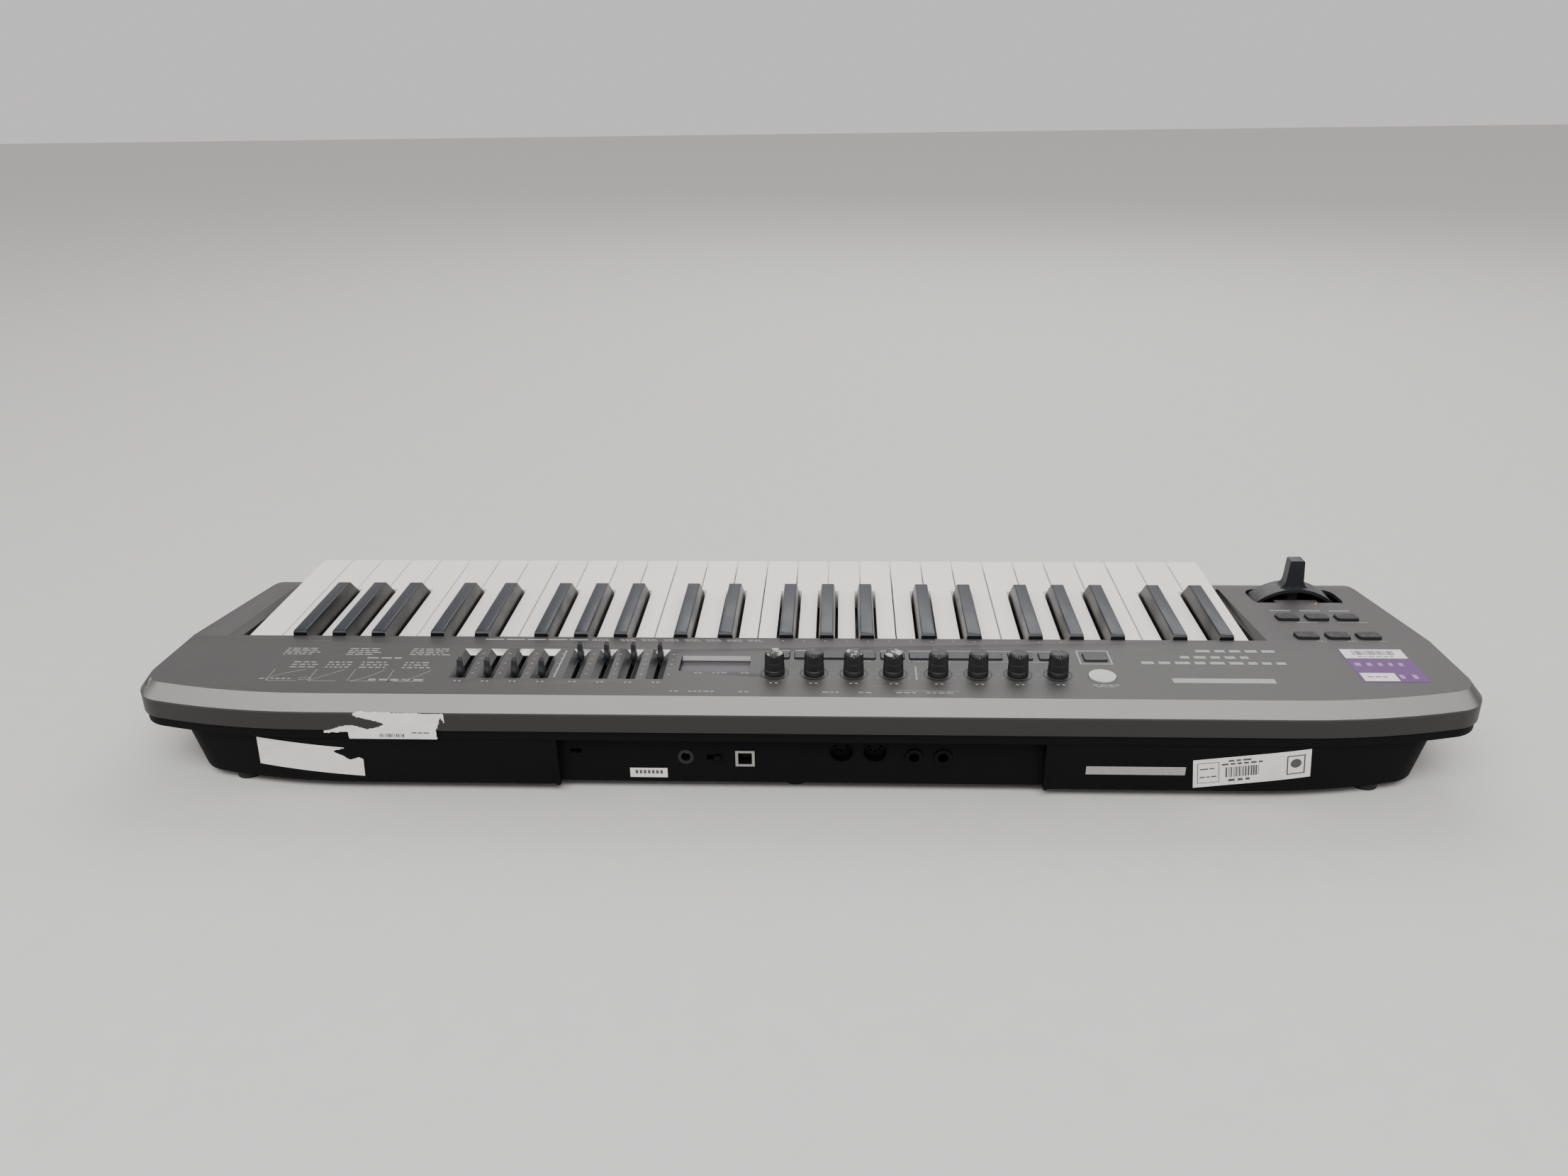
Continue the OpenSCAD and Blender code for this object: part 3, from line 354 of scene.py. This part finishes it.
window = Finish("display_window", Coat_Weight=0.25, Coat_Roughness=0.3)
haze = window.noise(0.012, 4)
window.set("Base Color", window.mix(haze, (0.026, 0.021, 0.028), (0.040, 0.034, 0.042)))
window.set("Roughness", 0.4 + haze * 0.12)

paper = Finish("label_paper")
crumple = paper.noise(0.008, 5)
stain = paper.noise(0.02, 4, (0.5, 1, 1)).smooth(0.5, 0.85)
paper.set("Base Color", paper.mix(stain * 0.5, paper.mix(crumple, (0.66, 0.65, 0.62), (0.80, 0.79, 0.76)),
                                  (0.42, 0.40, 0.37)))
paper.set("Roughness", 0.55 + crumple * 0.2)
paper.bump(crumple, 0.12 * MM)


def ink(name, colour, wear):
    """Printed ink, with a broken edge where it has worn."""
    made = Finish(name)
    patchy = made.noise(0.0009, 3).smooth(0.25, 0.75)
    made.set("Base Color", made.mix(patchy * wear, colour, [c * 0.55 for c in colour]))
    made.set("Roughness", 0.45 + patchy * 0.15)
    return made


pale_ink = ink("pale_ink", (0.34, 0.34, 0.335), 0.5)
dim_ink = ink("dim_ink", (0.27, 0.27, 0.265), 0.5)
# This finish is no print: a black film, painted shade over the groove round each knob.
groove_shade = ink("groove_shade", (0.004, 0.004, 0.005), 0.3)
grey_ink = ink("grey_ink", (0.07, 0.07, 0.072), 0.4)
purple_ink = ink("purple_ink", (0.10, 0.026, 0.15), 0.2)
lilac_ink = ink("lilac_ink", (0.32, 0.22, 0.38), 0.3)
orange_ink = ink("orange_ink", (0.55, 0.22, 0.05), 0.2)
print(len(bpy.data.materials), "materials")

# %% [markdown]
# ## Soft edges for the moulded parts
# A CAD solid has knife edges, and nothing moulded does. For each visible CAD part a copy of its mesh is
# welded, the triangles of each flat face are joined, and a Bevel modifier rounds every edge that is sharp.
# The copy then stands for the CAD node, so it keeps that node's place and joint.

# %% A rounded copy of a CAD part
SHARP = 32             # degrees between two faces, above which their edge is sharp
FLAT = 0.5             # degrees, below which they are one flat face
WELD = 0.003 * MM
SHORTEST = 0.002 * MM


def add_piece(name, form, finish, body, stands_for=()):
    """Turns a bmesh into an object that rides on a CAD body."""
    mesh = bpy.data.meshes.new(name)
    form.to_mesh(mesh)
    form.free()
    piece = bpy.data.objects.new(name, mesh)
    scene.collection.objects.link(piece)
    mesh.materials.append(finish.material)
    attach(piece, body)
    if stands_for:
        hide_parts(*stands_for)
    return piece


def smooth_by_angle(piece, degrees=SHARP):
    piece.data.shade_smooth()
    piece.data.set_sharp_from_angle(angle=math.radians(degrees))


def soften(node, finish, radius, segments=2):
    """A copy of a CAD node with its edges rounded to a radius in mm."""
    cad = frame["nodes"][node]
    slot = next(s["material_slot"] for s in frame["record"]["subparts"] if s["node"] == node)
    form = bmesh.new()
    form.from_mesh(cad.data)
    bmesh.ops.remove_doubles(form, verts=form.verts, dist=WELD)
    bmesh.ops.dissolve_limit(form, angle_limit=math.radians(FLAT), verts=form.verts, edges=form.edges)
    bmesh.ops.dissolve_degenerate(form, edges=form.edges, dist=SHORTEST)
    piece = add_piece(node + "_moulded", form, finish, cad["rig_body"], [node])
    edge = piece.modifiers.new("rounded edges", "BEVEL")
    edge.width, edge.segments, edge.limit_method = radius * MM, segments, "ANGLE"
    edge.angle_limit = math.radians(SHARP)
    edge.harden_normals = True
    smooth_by_angle(piece)
    return piece


WHITE = [letter + "_keys" for letter in "cdefgab"]
BLACK = [letter + "_sharp_keys" for letter in "cdfga"]
for node in WHITE:
    soften(node, ivory, 0.45, 3)
for node in BLACK:
    soften(node, ebony, 0.35, 2)
soften("top_case", paint, 0.45, 2)
soften("bottom_case", tub_black, 0.4, 2)
for number in range(1, 11):
    soften(f"button_{number}", button_dark, 0.35, 2)
soften("square_button", button_dark, 0.5, 3)
soften("disc_button", disc_grey, 0.4, 3)
soften("cheek_buttons_front", button_rubber, 0.9, 3)
soften("cheek_buttons_rear", button_rubber, 0.9, 3)
soften("lever_stick", control_black, 0.9, 3)
soften("lever_base", lever_grey, 0.3, 2)

# %% Finishes for the CAD parts that stay as they are
STAYS = {"key_chassis": steel, "contact_board": board_green, "main_board": board_green,
         "panel_board": board_green, "panel_pots": pot_cover, "display_module": window,
         "usb_socket": usb_shell, "dc_jack": jack_black, "midi_sockets": socket_black,
         "pedal_jacks": socket_black, "rubber_feet": foot_rubber, "case_screws": steel,
         "lever_yoke": lever_grey, "power_switch": socket_black}
for node, finish in STAYS.items():
    mesh = frame["nodes"][node].data
    mesh.materials.clear()
    mesh.materials.append(finish.material)

# %% [markdown]
# ## Knobs
# Each knob is a tapered cap with fine ribs for the fingertips, a smooth skirt and a slightly domed top with
# a notch that shows which way it points. It grows from one circle: every second point is pulled in where
# there are ribs, and the ring is extruded upwards step by step.

# %% Ribbed knobs
KNOB_POINTS = 96
# height above the knob's foot, radius, depth of the ribs, all in mm
KNOB_RINGS = [(0, 6.5, 0), (2.4, 6.45, 0), (2.9, 6.3, 0), (3.0, 6.3, 0.28), (7.3, 6.12, 0.28),
              (7.4, 6.12, 0.02), (7.7, 6.1, 0.02), (7.8, 6.1, 0.28), (12.6, 5.92, 0.28), (12.9, 5.88, 0.1),
              (13.6, 5.62, 0), (14.2, 5.1, 0), (14.55, 4.3, 0), (14.6, 3.6, 0)]
# the notch: its lowest height, its distance from the middle, its half width and its depth, all in mm
KNOB_NOTCH = (12.7, 3.9, 0.75, 1.0)
CHIPPED_KNOBS = (1, 3, 4)


def knob_form():
    form = bmesh.new()
    ring = bmesh.ops.create_circle(form, segments=KNOB_POINTS, radius=1)["verts"]
    edges = list({e for v in ring for e in v.link_edges})
    for step, (height, radius, rib) in enumerate(KNOB_RINGS):
        if step:
            grown = bmesh.ops.extrude_edge_only(form, edges=edges)["geom"]
            edges = [g for g in grown if isinstance(g, bmesh.types.BMEdge)]
            ring = [g for g in grown if isinstance(g, bmesh.types.BMVert)]
        for v in ring:
            turn = round(math.atan2(v.co.y, v.co.x) / math.tau * KNOB_POINTS)
            angle = turn * math.tau / KNOB_POINTS
            reach = (radius - rib * (turn % 2)) * MM
            v.co = Vector((math.cos(angle), math.sin(angle), 0)) * reach
            v.co.z = height * MM
    bmesh.ops.holes_fill(form, edges=[e for e in form.edges if e.is_boundary], sides=0)
    lowest, nearest, half_width, notch_depth = (size * MM for size in KNOB_NOTCH)
    for v in form.verts:
        if v.co.z > lowest and v.co.y > nearest and abs(v.co.x) < half_width:
            v.co.z -= notch_depth
    bmesh.ops.recalc_face_normals(form, faces=form.faces)
    return form


def knob_finish(number, chipped):
    """Black plastic; some tops have lost their paint round the rim."""
    made = moulded(f"knob_black_{number}", (0.010, 0.0105, 0.0125), 0.5, dust=0.25)
    if chipped:
        old = made.shader.inputs["Base Color"].links[0].from_socket
        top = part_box(f"knob_{number}")[1].z
        cap = made.axis("Z").smooth(top - 1.3 * MM, top - 0.4 * MM)
        bare = made.noise(0.0035, 5, shift=(number * 0.7, 0, 0)).smooth(0.46, 0.56) * cap
        made.set("Base Color", made.mix(bare * 0.8, Signal(made, old), (0.5, 0.49, 0.47)))
    return made


for number in range(1, 9):
    low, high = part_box(f"knob_{number}")
    form = knob_form()
    bmesh.ops.translate(form, verts=form.verts, vec=((low.x + high.x) / 2, (low.y + high.y) / 2, low.z))
    finish = knob_finish(number, number in CHIPPED_KNOBS)
    knob = add_piece(f"knob_cap_{number}", form, finish, f"knob_{number}",
                     [f"knob_{number}"])
    smooth_by_angle(knob, 40)
print("knob cap triangles about", KNOB_POINTS * len(KNOB_RINGS) * 2)

# %% [markdown]
# ## Sliders
# A slider's cap is a thin upright blade with a hollow in its top for the fingertip. The blade starts as
# a small flat grid, is raised step by step and drawn in as it rises, and is rounded with a bevel.

# %% Slider blades
# height above the blade's foot, half length and half width of the blade, in mm
BLADE_ROWS = [(0, 3.3, 1.9), (3.6, 3.3, 1.8), (4.6, 2.6, 1.4), (7.6, 2.4, 1.25), (10.6, 2.2, 1.15)]
BLADE_DROP = 10.7 * MM                      # from the top of the CAD slider to the blade's foot
STEM_SIZE = (2.2 * MM, 4 * MM, 5.2 * MM)
STEM_DROP = 2.4 * MM                        # from the blade's foot to the stem's middle


def blade_form():
    form = bmesh.new()
    bmesh.ops.create_grid(form, x_segments=1, y_segments=4, size=1)
    layer = list(form.faces)
    for step, (height, half_length, half_width) in enumerate(BLADE_ROWS):
        if step:
            grown = bmesh.ops.extrude_face_region(form, geom=layer)["geom"]
            bmesh.ops.delete(form, geom=layer, context="FACES")
            layer = [g for g in grown if isinstance(g, bmesh.types.BMFace)]
        rows = {v for f in layer for v in f.verts}
        reach = max(abs(v.co.y) for v in rows)
        for v in rows:
            share = v.co.y / reach
            dip = 1.5 * (1 - share * share) if step == len(BLADE_ROWS) - 1 else 0
            v.co = Vector((math.copysign(half_width, v.co.x), share * half_length, height - dip)) * MM
    bmesh.ops.recalc_face_normals(form, faces=form.faces)
    bmesh.ops.holes_fill(form, edges=[e for e in form.edges if e.is_boundary], sides=0)
    bmesh.ops.recalc_face_normals(form, faces=form.faces)
    sharp = [e for e in form.edges if len(e.link_faces) == 2 and e.calc_face_angle() > 0.9]
    bmesh.ops.bevel(form, geom=sharp, offset=0.3 * MM, segments=2, profile=0.5, affect="EDGES", material=-1)
    return form


for number in range(1, 9):
    low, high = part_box(f"slider_{number}")
    form = blade_form()
    stem = bmesh.ops.create_cube(form, size=1)["verts"]
    bmesh.ops.scale(form, verts=stem, vec=STEM_SIZE)
    bmesh.ops.translate(form, verts=stem, vec=(0, 0, -STEM_DROP))
    foot = ((low.x + high.x) / 2, (low.y + high.y) / 2, high.z - BLADE_DROP)
    bmesh.ops.translate(form, verts=form.verts, vec=foot)
    blade = add_piece(f"slider_cap_{number}", form, control_black, f"slider_{number}",
                      [f"slider_{number}"])
    smooth_by_angle(blade, 40)
print("eight slider blades")

# %% [markdown]
# ## Printing
# Everything printed on the panel is a film of ink, far thinner than a hair. Each bar, tick and dot is a
# small flat face laid just above the paint. Names and words are replaced by plain bars, so the panel keeps
# its pattern and says nothing.

# %% Ink on the panel
PANEL_FRONT = 34 * MM
CHEEK_FALL = math.tan(math.radians(6.3))
FILM = 0.05 * MM
chance = random.Random(7)


def lay_on_case(form):
    """Drops flat printing onto the panel and the sloping cheeks."""
    for v in form.verts:
        v.co.z = PANEL_Z - max(0, PANEL_FRONT - v.co.y) * CHEEK_FALL + FILM


def lay_at(form, lift):
    """Lays flat printing lift mm above the panel."""
    for v in form.verts:
        v.co.z = PANEL_Z + lift * MM


def bar(form, x, y, width, height, turn=0.0):
    """A flat bar centred on x, y, all in mm."""
    verts = bmesh.ops.create_grid(form, x_segments=1, y_segments=1, size=0.5)["verts"]
    bmesh.ops.scale(form, verts=verts, vec=(width * MM, height * MM, 1))
    bmesh.ops.rotate(form, verts=verts, matrix=Matrix.Rotation(turn, 3, "Z"))
    bmesh.ops.translate(form, verts=verts, vec=(x * MM, y * MM, 0))


def stroke(form, x0, y0, x1, y1, width):
    length, turn = math.hypot(x1 - x0, y1 - y0), math.atan2(y1 - y0, x1 - x0)
    bar(form, (x0 + x1) / 2, (y0 + y1) / 2, length, width, turn)


def words(form, x0, x1, y, height, shortest=1.5, longest=5.0):
    """A line of plain bars of uneven length, from x0 down to x1."""
    x = x0
    while x - shortest > x1:
        length = min(chance.uniform(shortest, longest), x - x1)
        bar(form, x - length / 2, y, length, height)
        x -= length + height * 0.9


def dot(form, x, y, radius):
    verts = bmesh.ops.create_circle(form, cap_ends=True, segments=10, radius=radius * MM)["verts"]
    bmesh.ops.translate(form, verts=verts, vec=(x * MM, y * MM, 0))


def outline(form, x, y, width, height, line):
    for side in (-1, 1):
        bar(form, x + side * (width - line) / 2, y, line, height)
        bar(form, x, y + side * (height - line) / 2, width - 2 * line, line)


def centre_of(node):
    low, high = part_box(node)
    return (low.x + high.x) / 2 / MM, (low.y + high.y) / 2 / MM


print("printing helpers are ready")

# %% Marks round the sliders, knobs and buttons
DOT_RING = 11.4        # radius of the ring of dots round a knob, in mm
marks = bmesh.new()
faint = bmesh.new()
for number in range(1, 9):
    x = centre_of(f"slider_{number}")[0]
    for step in range(5):
        bar(marks, x - 8.6, 59.6 + 6.9 * step, 1.7 if step % 2 == 0 else 0.8, 0.7)
    bar(faint, x - 0.2, 98, 1.3, 1.6)
    bar(faint, x - 3.2, 98, 1.6, 1.6)
stroke(marks, 150.9, 54.5, 151.5, 92, 0.9)
stroke(marks, -75.2, 74.2, -75.2, 92.8, 0.9)
for number in range(1, 9):
    x, y = centre_of(f"knob_{number}")
    for step in range(11):
        angle = math.radians(-60 + step * 30)
        dot(faint, x + DOT_RING * math.cos(angle), y + DOT_RING * math.sin(angle), 0.35)
    bar(faint, x + 1.8, y + 13.2, 1.7, 1.5)
    bar(faint, x - 1.6, y + 13.2, 1.7, 1.5)
for number in (1, 2, 5, 6):
    x, y = centre_of(f"button_{number}")
    bar(marks, x, y - 7.0, 14.6, 1.5)
for number in (1, 4, 6):
    x, y = centre_of(f"button_{number}")
    words(faint, x + 5, x - 5, y + 7.6, 1.2, 1, 2.4)
x, y = centre_of("button_4")
words(faint, x + 9, x - 6, y - 7.0, 1.0)
left, right = centre_of("button_7")[0] + 8.6, centre_of("button_10")[0] - 8.6
for y in (52.4, 67.4):
    stroke(marks, left, y, right, y, 0.6)
bar(marks, -104, 67.4, 19, 1.3)
bar(marks, -126, 67.4, 15, 1.3)
x, y = centre_of("square_button")
outline(marks, x + 0.4, y, 20.6, 19.4, 0.9)
x, y = centre_of("disc_button")
words(faint, x + 8, x - 8, y + 11.3, 1.2, 2, 4)
words(faint, x + 6, x - 6, y + 13.4, 1.0, 2, 4)
for x, width in ((61.5, 5), (47, 11), (32, 5)):
    words(faint, x + width / 2, x - width / 2, 84.9, 1.2, 1.2, 4)
    dot(faint, x, 83.6, 0.4)

# %% Rows of print along the keys and above the sockets
for step in range(5):
    bar(marks, 202.5 - 14.1 * step, 38.4, 12.4, 1.4)
for x in (131, 113, 99, 84, 70, 56, 42, 28):
    words(faint, x + 5.5, x - 4.5, 37.7, 0.9, 1.5, 4)
    words(faint, x + 4.5, x - 5.5, 39.4, 0.9, 1.5, 4)
for x in range(10, -180, -14):
    bar(faint, x, 38.2, 1.2, 0.9)
stroke(faint, 136.5, 37, 136.5, 40.2, 0.4)
for left, right in ((76.5, 70), (65, 48), (34, 28), (-17, -27), (-39, -49), (-62, -74), (-80, -98)):
    words(faint, left, right, 109.3, 1.3, 1.6, 4)
stroke(faint, -60, 107, -100, 107, 0.4)

# %% The chart at the left end of the panel
for column, (left, right) in enumerate(((333, 313), (306, 288), (281, 262), (256, 232))):
    stroke(faint, left, 99.3, right, 99.3, 0.45)
    stroke(faint, left, 99.3, left, 83.5, 0.45)
    bend = (0.5, 1.0, 1.8, 2.6)[column]
    points = [(left + (right - left) * t / 8, 99.3 - 15.5 * (t / 8) ** bend) for t in range(9)]
    for a, b in zip(points, points[1:]):
        stroke(faint, *a, *b, 0.5)
words(faint, 268, 230, 97.2, 2.4, 4, 9)
words(faint, 338, 318, 96.6, 1.4, 1.5, 4)
outline(faint, 309, 96.2, 7.5, 3.2, 0.4)
for left, right in ((325, 308), (302, 286), (280, 262), (252, 234)):
    for row in range(3):
        words(faint, left, right, 73.4 + 3.5 * row, 1.5, 1.5, 5)
words(faint, 279, 256.5, 67, 2.0, 4, 8)
for left, right in ((337, 314), (295, 274), (253, 228)):
    for row in range(4):
        words(faint, left, right - chance.uniform(-4, 2), 53.6 + 2.8 * row, 1.4, 1.5, 6)

# %% The heading, and the marks on the cheek
bar(marks, -263, 91, 62, 6)
for y, left, right in ((67, -218, -308), (59, -244, -291), (50, -256, -306)):
    words(marks, left, right, y, 3.4, 4.5, 9.5)
for x in (-335, -355.4, -375.5):
    bar(marks, x, -28.4, 14, 1.5)
bar(faint, -345, -3.2, 14, 1.0)
bar(faint, -375.7, -3.2, 19.5, 1.0)
for x in (-341, -361, -381):
    words(faint, x + 3, x - 3, 34.2, 0.9, 1, 2)
lay_on_case(marks)
lay_on_case(faint)
add_piece("panel_marks", marks, pale_ink, "case")
add_piece("panel_small_print", faint, dim_ink, "case")

# %% Black rings under the knobs, painted shade over the groove round each knob
RING_RADIUS, RING_WIDTH, RING_STROKES = 8.5, 0.95, 48
rings = bmesh.new()
turns = [math.tau * step / RING_STROKES for step in range(RING_STROKES + 1)]
for number in range(1, 9):
    x, y = centre_of(f"knob_{number}")
    points = [(x + RING_RADIUS * math.cos(t), y + RING_RADIUS * math.sin(t)) for t in turns]
    for a, b in zip(points, points[1:]):
        stroke(rings, *a, *b, RING_WIDTH)
lay_on_case(rings)
print("faces in the rings:", len(rings.faces))
# painted shade over the grooves round the knobs
add_piece("knob_rings", rings, groove_shade, "case")

# %% [markdown]
# ## Paper labels
# A used keyboard collects labels: a two-tone sticker on the panel, a barcode and a small number label at
# the back, and two that somebody has half torn off. A label at the back starts as a fine grid. Faces are
# removed where the paper is torn, the edge there is made ragged, and the sheet is given a thickness.

# %% Sheets of paper
RAGGED = 0.3                             # how far a torn edge strays, in mm
TUB_FOOT_Y, TUB_FOOT_Z = 117.5, 6        # lower edge of the tub's rear face, in mm
TUB_LEAN, TUB_RISE = 3, 33.5             # how far that face leans back, and over what height
SWEEP_START, SWEEP_SCALE, SWEEP = 300, 0.943, 780    # where its ends start to sweep forward, and how much


def sheet_form(width, height, cells=(110, 40), torn=None):
    """A label in its own plane, in mm, centred on the origin.

    torn(u, v) is true where the paper is gone; u and v run from 0 to 1 across the label."""
    form = bmesh.new()
    bmesh.ops.create_grid(form, x_segments=cells[0], y_segments=cells[1], size=0.5)
    if torn:
        gone = [f for f in form.faces if torn(*(c + 0.5 for c in f.calc_center_median().xy))]
        bmesh.ops.delete(form, geom=gone, context="FACES")
        for v in form.verts:
            if v.is_boundary and 0.01 < v.co.x + 0.5 < 0.99 and 0.01 < v.co.y + 0.5 < 0.99:
                v.co.x += chance.uniform(-1, 1) * RAGGED / width
                v.co.y += chance.uniform(-1, 1) * RAGGED / height
    bmesh.ops.scale(form, verts=form.verts, vec=(width * MM, height * MM, 1))
    return form


def tub_y(x, z):
    """Rear face of the tub, in mm, which leans and sweeps forward at its ends."""
    beyond = max(0, abs(x) / SWEEP_SCALE - SWEEP_START)
    return TUB_FOOT_Y + (z - TUB_FOOT_Z) * TUB_LEAN / TUB_RISE - beyond * beyond / SWEEP


def face_rearward(form):
    for f in form.faces:
        f.normal_update()
        if f.normal.y < 0:
            f.normal_flip()


def onto_rear(form, x, z, turn, surface=tub_y, lift=0.12):
    """Stands a flat form up on the rear of the object, turned about its middle."""
    bmesh.ops.rotate(form, verts=form.verts, matrix=Matrix.Rotation(turn, 3, "Z"))
    for v in form.verts:
        px, pz = x + v.co.x / MM, z + v.co.y / MM
        v.co = Vector((px, surface(px, pz) + lift, pz)) * MM
    face_rearward(form)


def thicken(form, thickness=0.12):
    bmesh.ops.solidify(form, geom=form.faces, thickness=-thickness * MM)
    bmesh.ops.recalc_face_normals(form, faces=form.faces)


def code_bars(form, x0, x1, y0, y1):
    """A generic row of upright bars of uneven width."""
    x = x0
    while x < x1:
        width = chance.choice((0.35, 0.35, 0.7, 1.0))
        bar(form, x + width / 2, (y0 + y1) / 2, width, y1 - y0)
        x += width + chance.choice((0.4, 0.4, 0.7))


SOCKET_PANEL_Y = 113     # face of the recessed panel round the sockets, in mm


def rear_label(name, width, height, x, z, turn, torn=None, print_on=None, surface=tub_y):
    form = sheet_form(width, height, torn=torn)
    onto_rear(form, x, z, turn, surface)
    thicken(form)
    add_piece(name, form, paper, "case")
    if print_on:
        film = bmesh.new()
        print_on(film)
        onto_rear(film, x, z, turn, surface, 0.32)
        add_piece(name + "_print", film, grey_ink, "case")


def barcode_print(film):
    code_bars(film, -4, 16, -4.5, 3)
    words(film, 18, -6, 5.2, 1.3, 2, 5)
    words(film, 14, -2, 7.6, 1.3, 2, 5)
    words(film, 14, 0, -6.8, 1.8, 2, 4)
    outline(film, 26, 0, 13, 15, 0.4)
    words(film, 31, 21, 3, 0.9, 2, 5)
    words(film, 31, 21, -3, 0.9, 2, 5)
    outline(film, -26, 0, 11, 14, 0.8)
    dot(film, -26, 1, 3.4)


def number_print(film):
    for step in range(7):
        bar(film, -8 + step * 2.6, 0.6, 1.6, 2.6)


rear_label("label_torn_corner", width=68, height=20.5, x=304, z=24, turn=0.09,
           torn=lambda u, v: u < 0.22 + 0.05 * math.sin(v * 17) and v > 0.62 + 0.05 * math.sin(u * 40))
rear_label("label_barcode", width=70, height=20.5, x=-277.5, z=22.8, turn=-0.125, print_on=barcode_print)
rear_label("label_number", width=23.5, height=6.6, x=91.7, z=12.2, turn=0, print_on=number_print,
           surface=lambda x, z: SOCKET_PANEL_Y)

# %% The label torn across the rear edge
BAND_Y, BAND_FOOT_Z, BAND_HEIGHT = 123.12, 41, 18    # the case's upright rear band, in mm
SLOPE_Y, SLOPE_Z = -0.64, 0.768                      # direction of the slope above it
EDGE_LABEL_X, EDGE_LABEL_UP = 252, 9.4               # the label's middle, along the band and up it


def onto_edge(form, lift=(0, 0, 0)):
    """Bends a flat form up the rear band, over its corner and onto the slope."""
    for v in form.verts:
        up = EDGE_LABEL_UP + v.co.y / MM
        over = max(0, up - BAND_HEIGHT)
        point = Vector((EDGE_LABEL_X + v.co.x / MM, BAND_Y + over * SLOPE_Y,
                        BAND_FOOT_Z + up - over + over * SLOPE_Z))
        v.co = point * MM + Vector(lift)


def torn_from_edge_label(u, v):
    upper_right = u > 0.62 + 0.12 * math.sin(v * 9) and v > 0.38 - 0.1 * math.sin(u * 14)
    lower_left = u < 0.08 and v < 0.55 + 0.2 * math.sin(u * 60)
    lower_right = u > 0.8 and v < 0.26 - 0.3 * (u - 0.8)
    return upper_right or lower_left or lower_right or v > 0.9 + 0.1 * u


form = sheet_form(76, 19.5, (130, 44), torn=torn_from_edge_label)
onto_edge(form)
face_rearward(form)
thicken(form)
add_piece("label_torn_edge", form, paper, "case")
film = bmesh.new()
code_bars(film, -12, 4, -8.6, -6.2)
words(film, -17, -30, -5.4, 0.8, 2, 5)
onto_edge(film, lift=(0, 0.2 * MM, 0.1 * MM))
add_piece("label_torn_edge_print", film, grey_ink, "case")

# %% The two-tone sticker on the panel
def flat_form(x, y, width, height, lift):
    form = bmesh.new()
    bar(form, x, y, width, height)
    grown = bmesh.ops.extrude_face_region(form, geom=list(form.faces))["geom"]
    top = [g for g in grown if isinstance(g, bmesh.types.BMVert)]
    bmesh.ops.translate(form, verts=top, vec=(0, 0, lift * MM))
    bmesh.ops.translate(form, verts=form.verts, vec=(0, 0, PANEL_Z))
    bmesh.ops.recalc_face_normals(form, faces=form.faces)
    return form


add_piece("sticker_backing", flat_form(-367, 68.3, 40, 45.6, 0.12), purple_ink, "case")
add_piece("sticker_white_strip", flat_form(-367, 52.7, 38.6, 12.6, 0.16), paper, "case")
add_piece("sticker_white_patch", flat_form(-359, 84.6, 21, 10.6, 0.16), paper, "case")
film = bmesh.new()
code_bars(film, -380, -354, 48.4, 54.6)
words(film, -356, -378, 56.8, 1.0, 2, 4)
words(film, -351.5, -366, 84.6, 1.2, 2, 4)
lay_at(film, 0.2)
add_piece("sticker_print", film, grey_ink, "case")
film = bmesh.new()
words(film, -350, -384, 67.6, 4.2, 2.2, 4.2)
words(film, -371.5, -385.5, 84, 5.6, 2.6, 3.4)
lay_at(film, 0.17)
add_piece("sticker_bands", film, lilac_ink, "case")

# %% The plain mark on the rear of the tub
film = bmesh.new()
bar(film, 0, 0, 60, 6)
onto_rear(film, -208, 20.5, 0, lift=0.06)
add_piece("rear_mark", film, pale_ink, "case")

# %% [markdown]
# ## Small details
# An orange dot sits on the lever's floor. It is tiny, but it catches the eye because nothing near it has
# its colour.

# %% The dot beside the lever
LEVER_DOT = (-0.3665, -0.0475, 0.0575)
form = bmesh.new()
bmesh.ops.create_uvsphere(form, u_segments=16, v_segments=8, radius=1.1 * MM)
bmesh.ops.translate(form, verts=form.verts, vec=LEVER_DOT)
smooth_by_angle(add_piece("lever_dot", form, orange_ink, "case"), 60)

# %% [markdown]
# ## Floor and light
# The room is plain: a pale floor, one large soft light high behind the viewer that the sloping rear edge
# reflects, and a weaker one from the player's side to keep the key fronts readable.

# %% Stage
floor_form = bmesh.new()
bmesh.ops.create_grid(floor_form, x_segments=1, y_segments=1, size=6)
floor_mesh = bpy.data.meshes.new("floor")
floor_form.to_mesh(floor_mesh)
floor_form.free()
floor = bpy.data.objects.new("floor", floor_mesh)
scene.collection.objects.link(floor)
floor_finish = Finish("floor_plain", roughness=0.9)
mottle = floor_finish.noise(0.02, 4)
floor_finish.set("Base Color", floor_finish.mix(mottle, (0.60, 0.595, 0.585), (0.64, 0.635, 0.625)))
floor_mesh.materials.append(floor_finish.material)

scene.world = bpy.data.worlds.new("plain room")
scene.world.use_nodes = True
sky = scene.world.node_tree.nodes["Background"]
sky.inputs["Color"].default_value = (0.80, 0.775, 0.77, 1)
sky.inputs["Strength"].default_value = 0.92


def soft_light(name, where, aim, size, power):
    lamp = bpy.data.lights.new(name, "AREA")
    lamp.shape, lamp.size, lamp.size_y, lamp.energy = "RECTANGLE", size[0], size[1], power
    holder = bpy.data.objects.new(name, lamp)
    holder.location = where
    holder.rotation_euler = (Vector(aim) - Vector(where)).to_track_quat("-Z", "Y").to_euler()
    scene.collection.objects.link(holder)


soft_light("high_light", (0.1, 1.5, 2.0), (0, 0, 0), (2.6, 1.2), 58)
soft_light("front_light", (-0.4, -1.6, 1.6), (0, 0, 0), (2.0, 1.2), 24)
print("stage is lit")
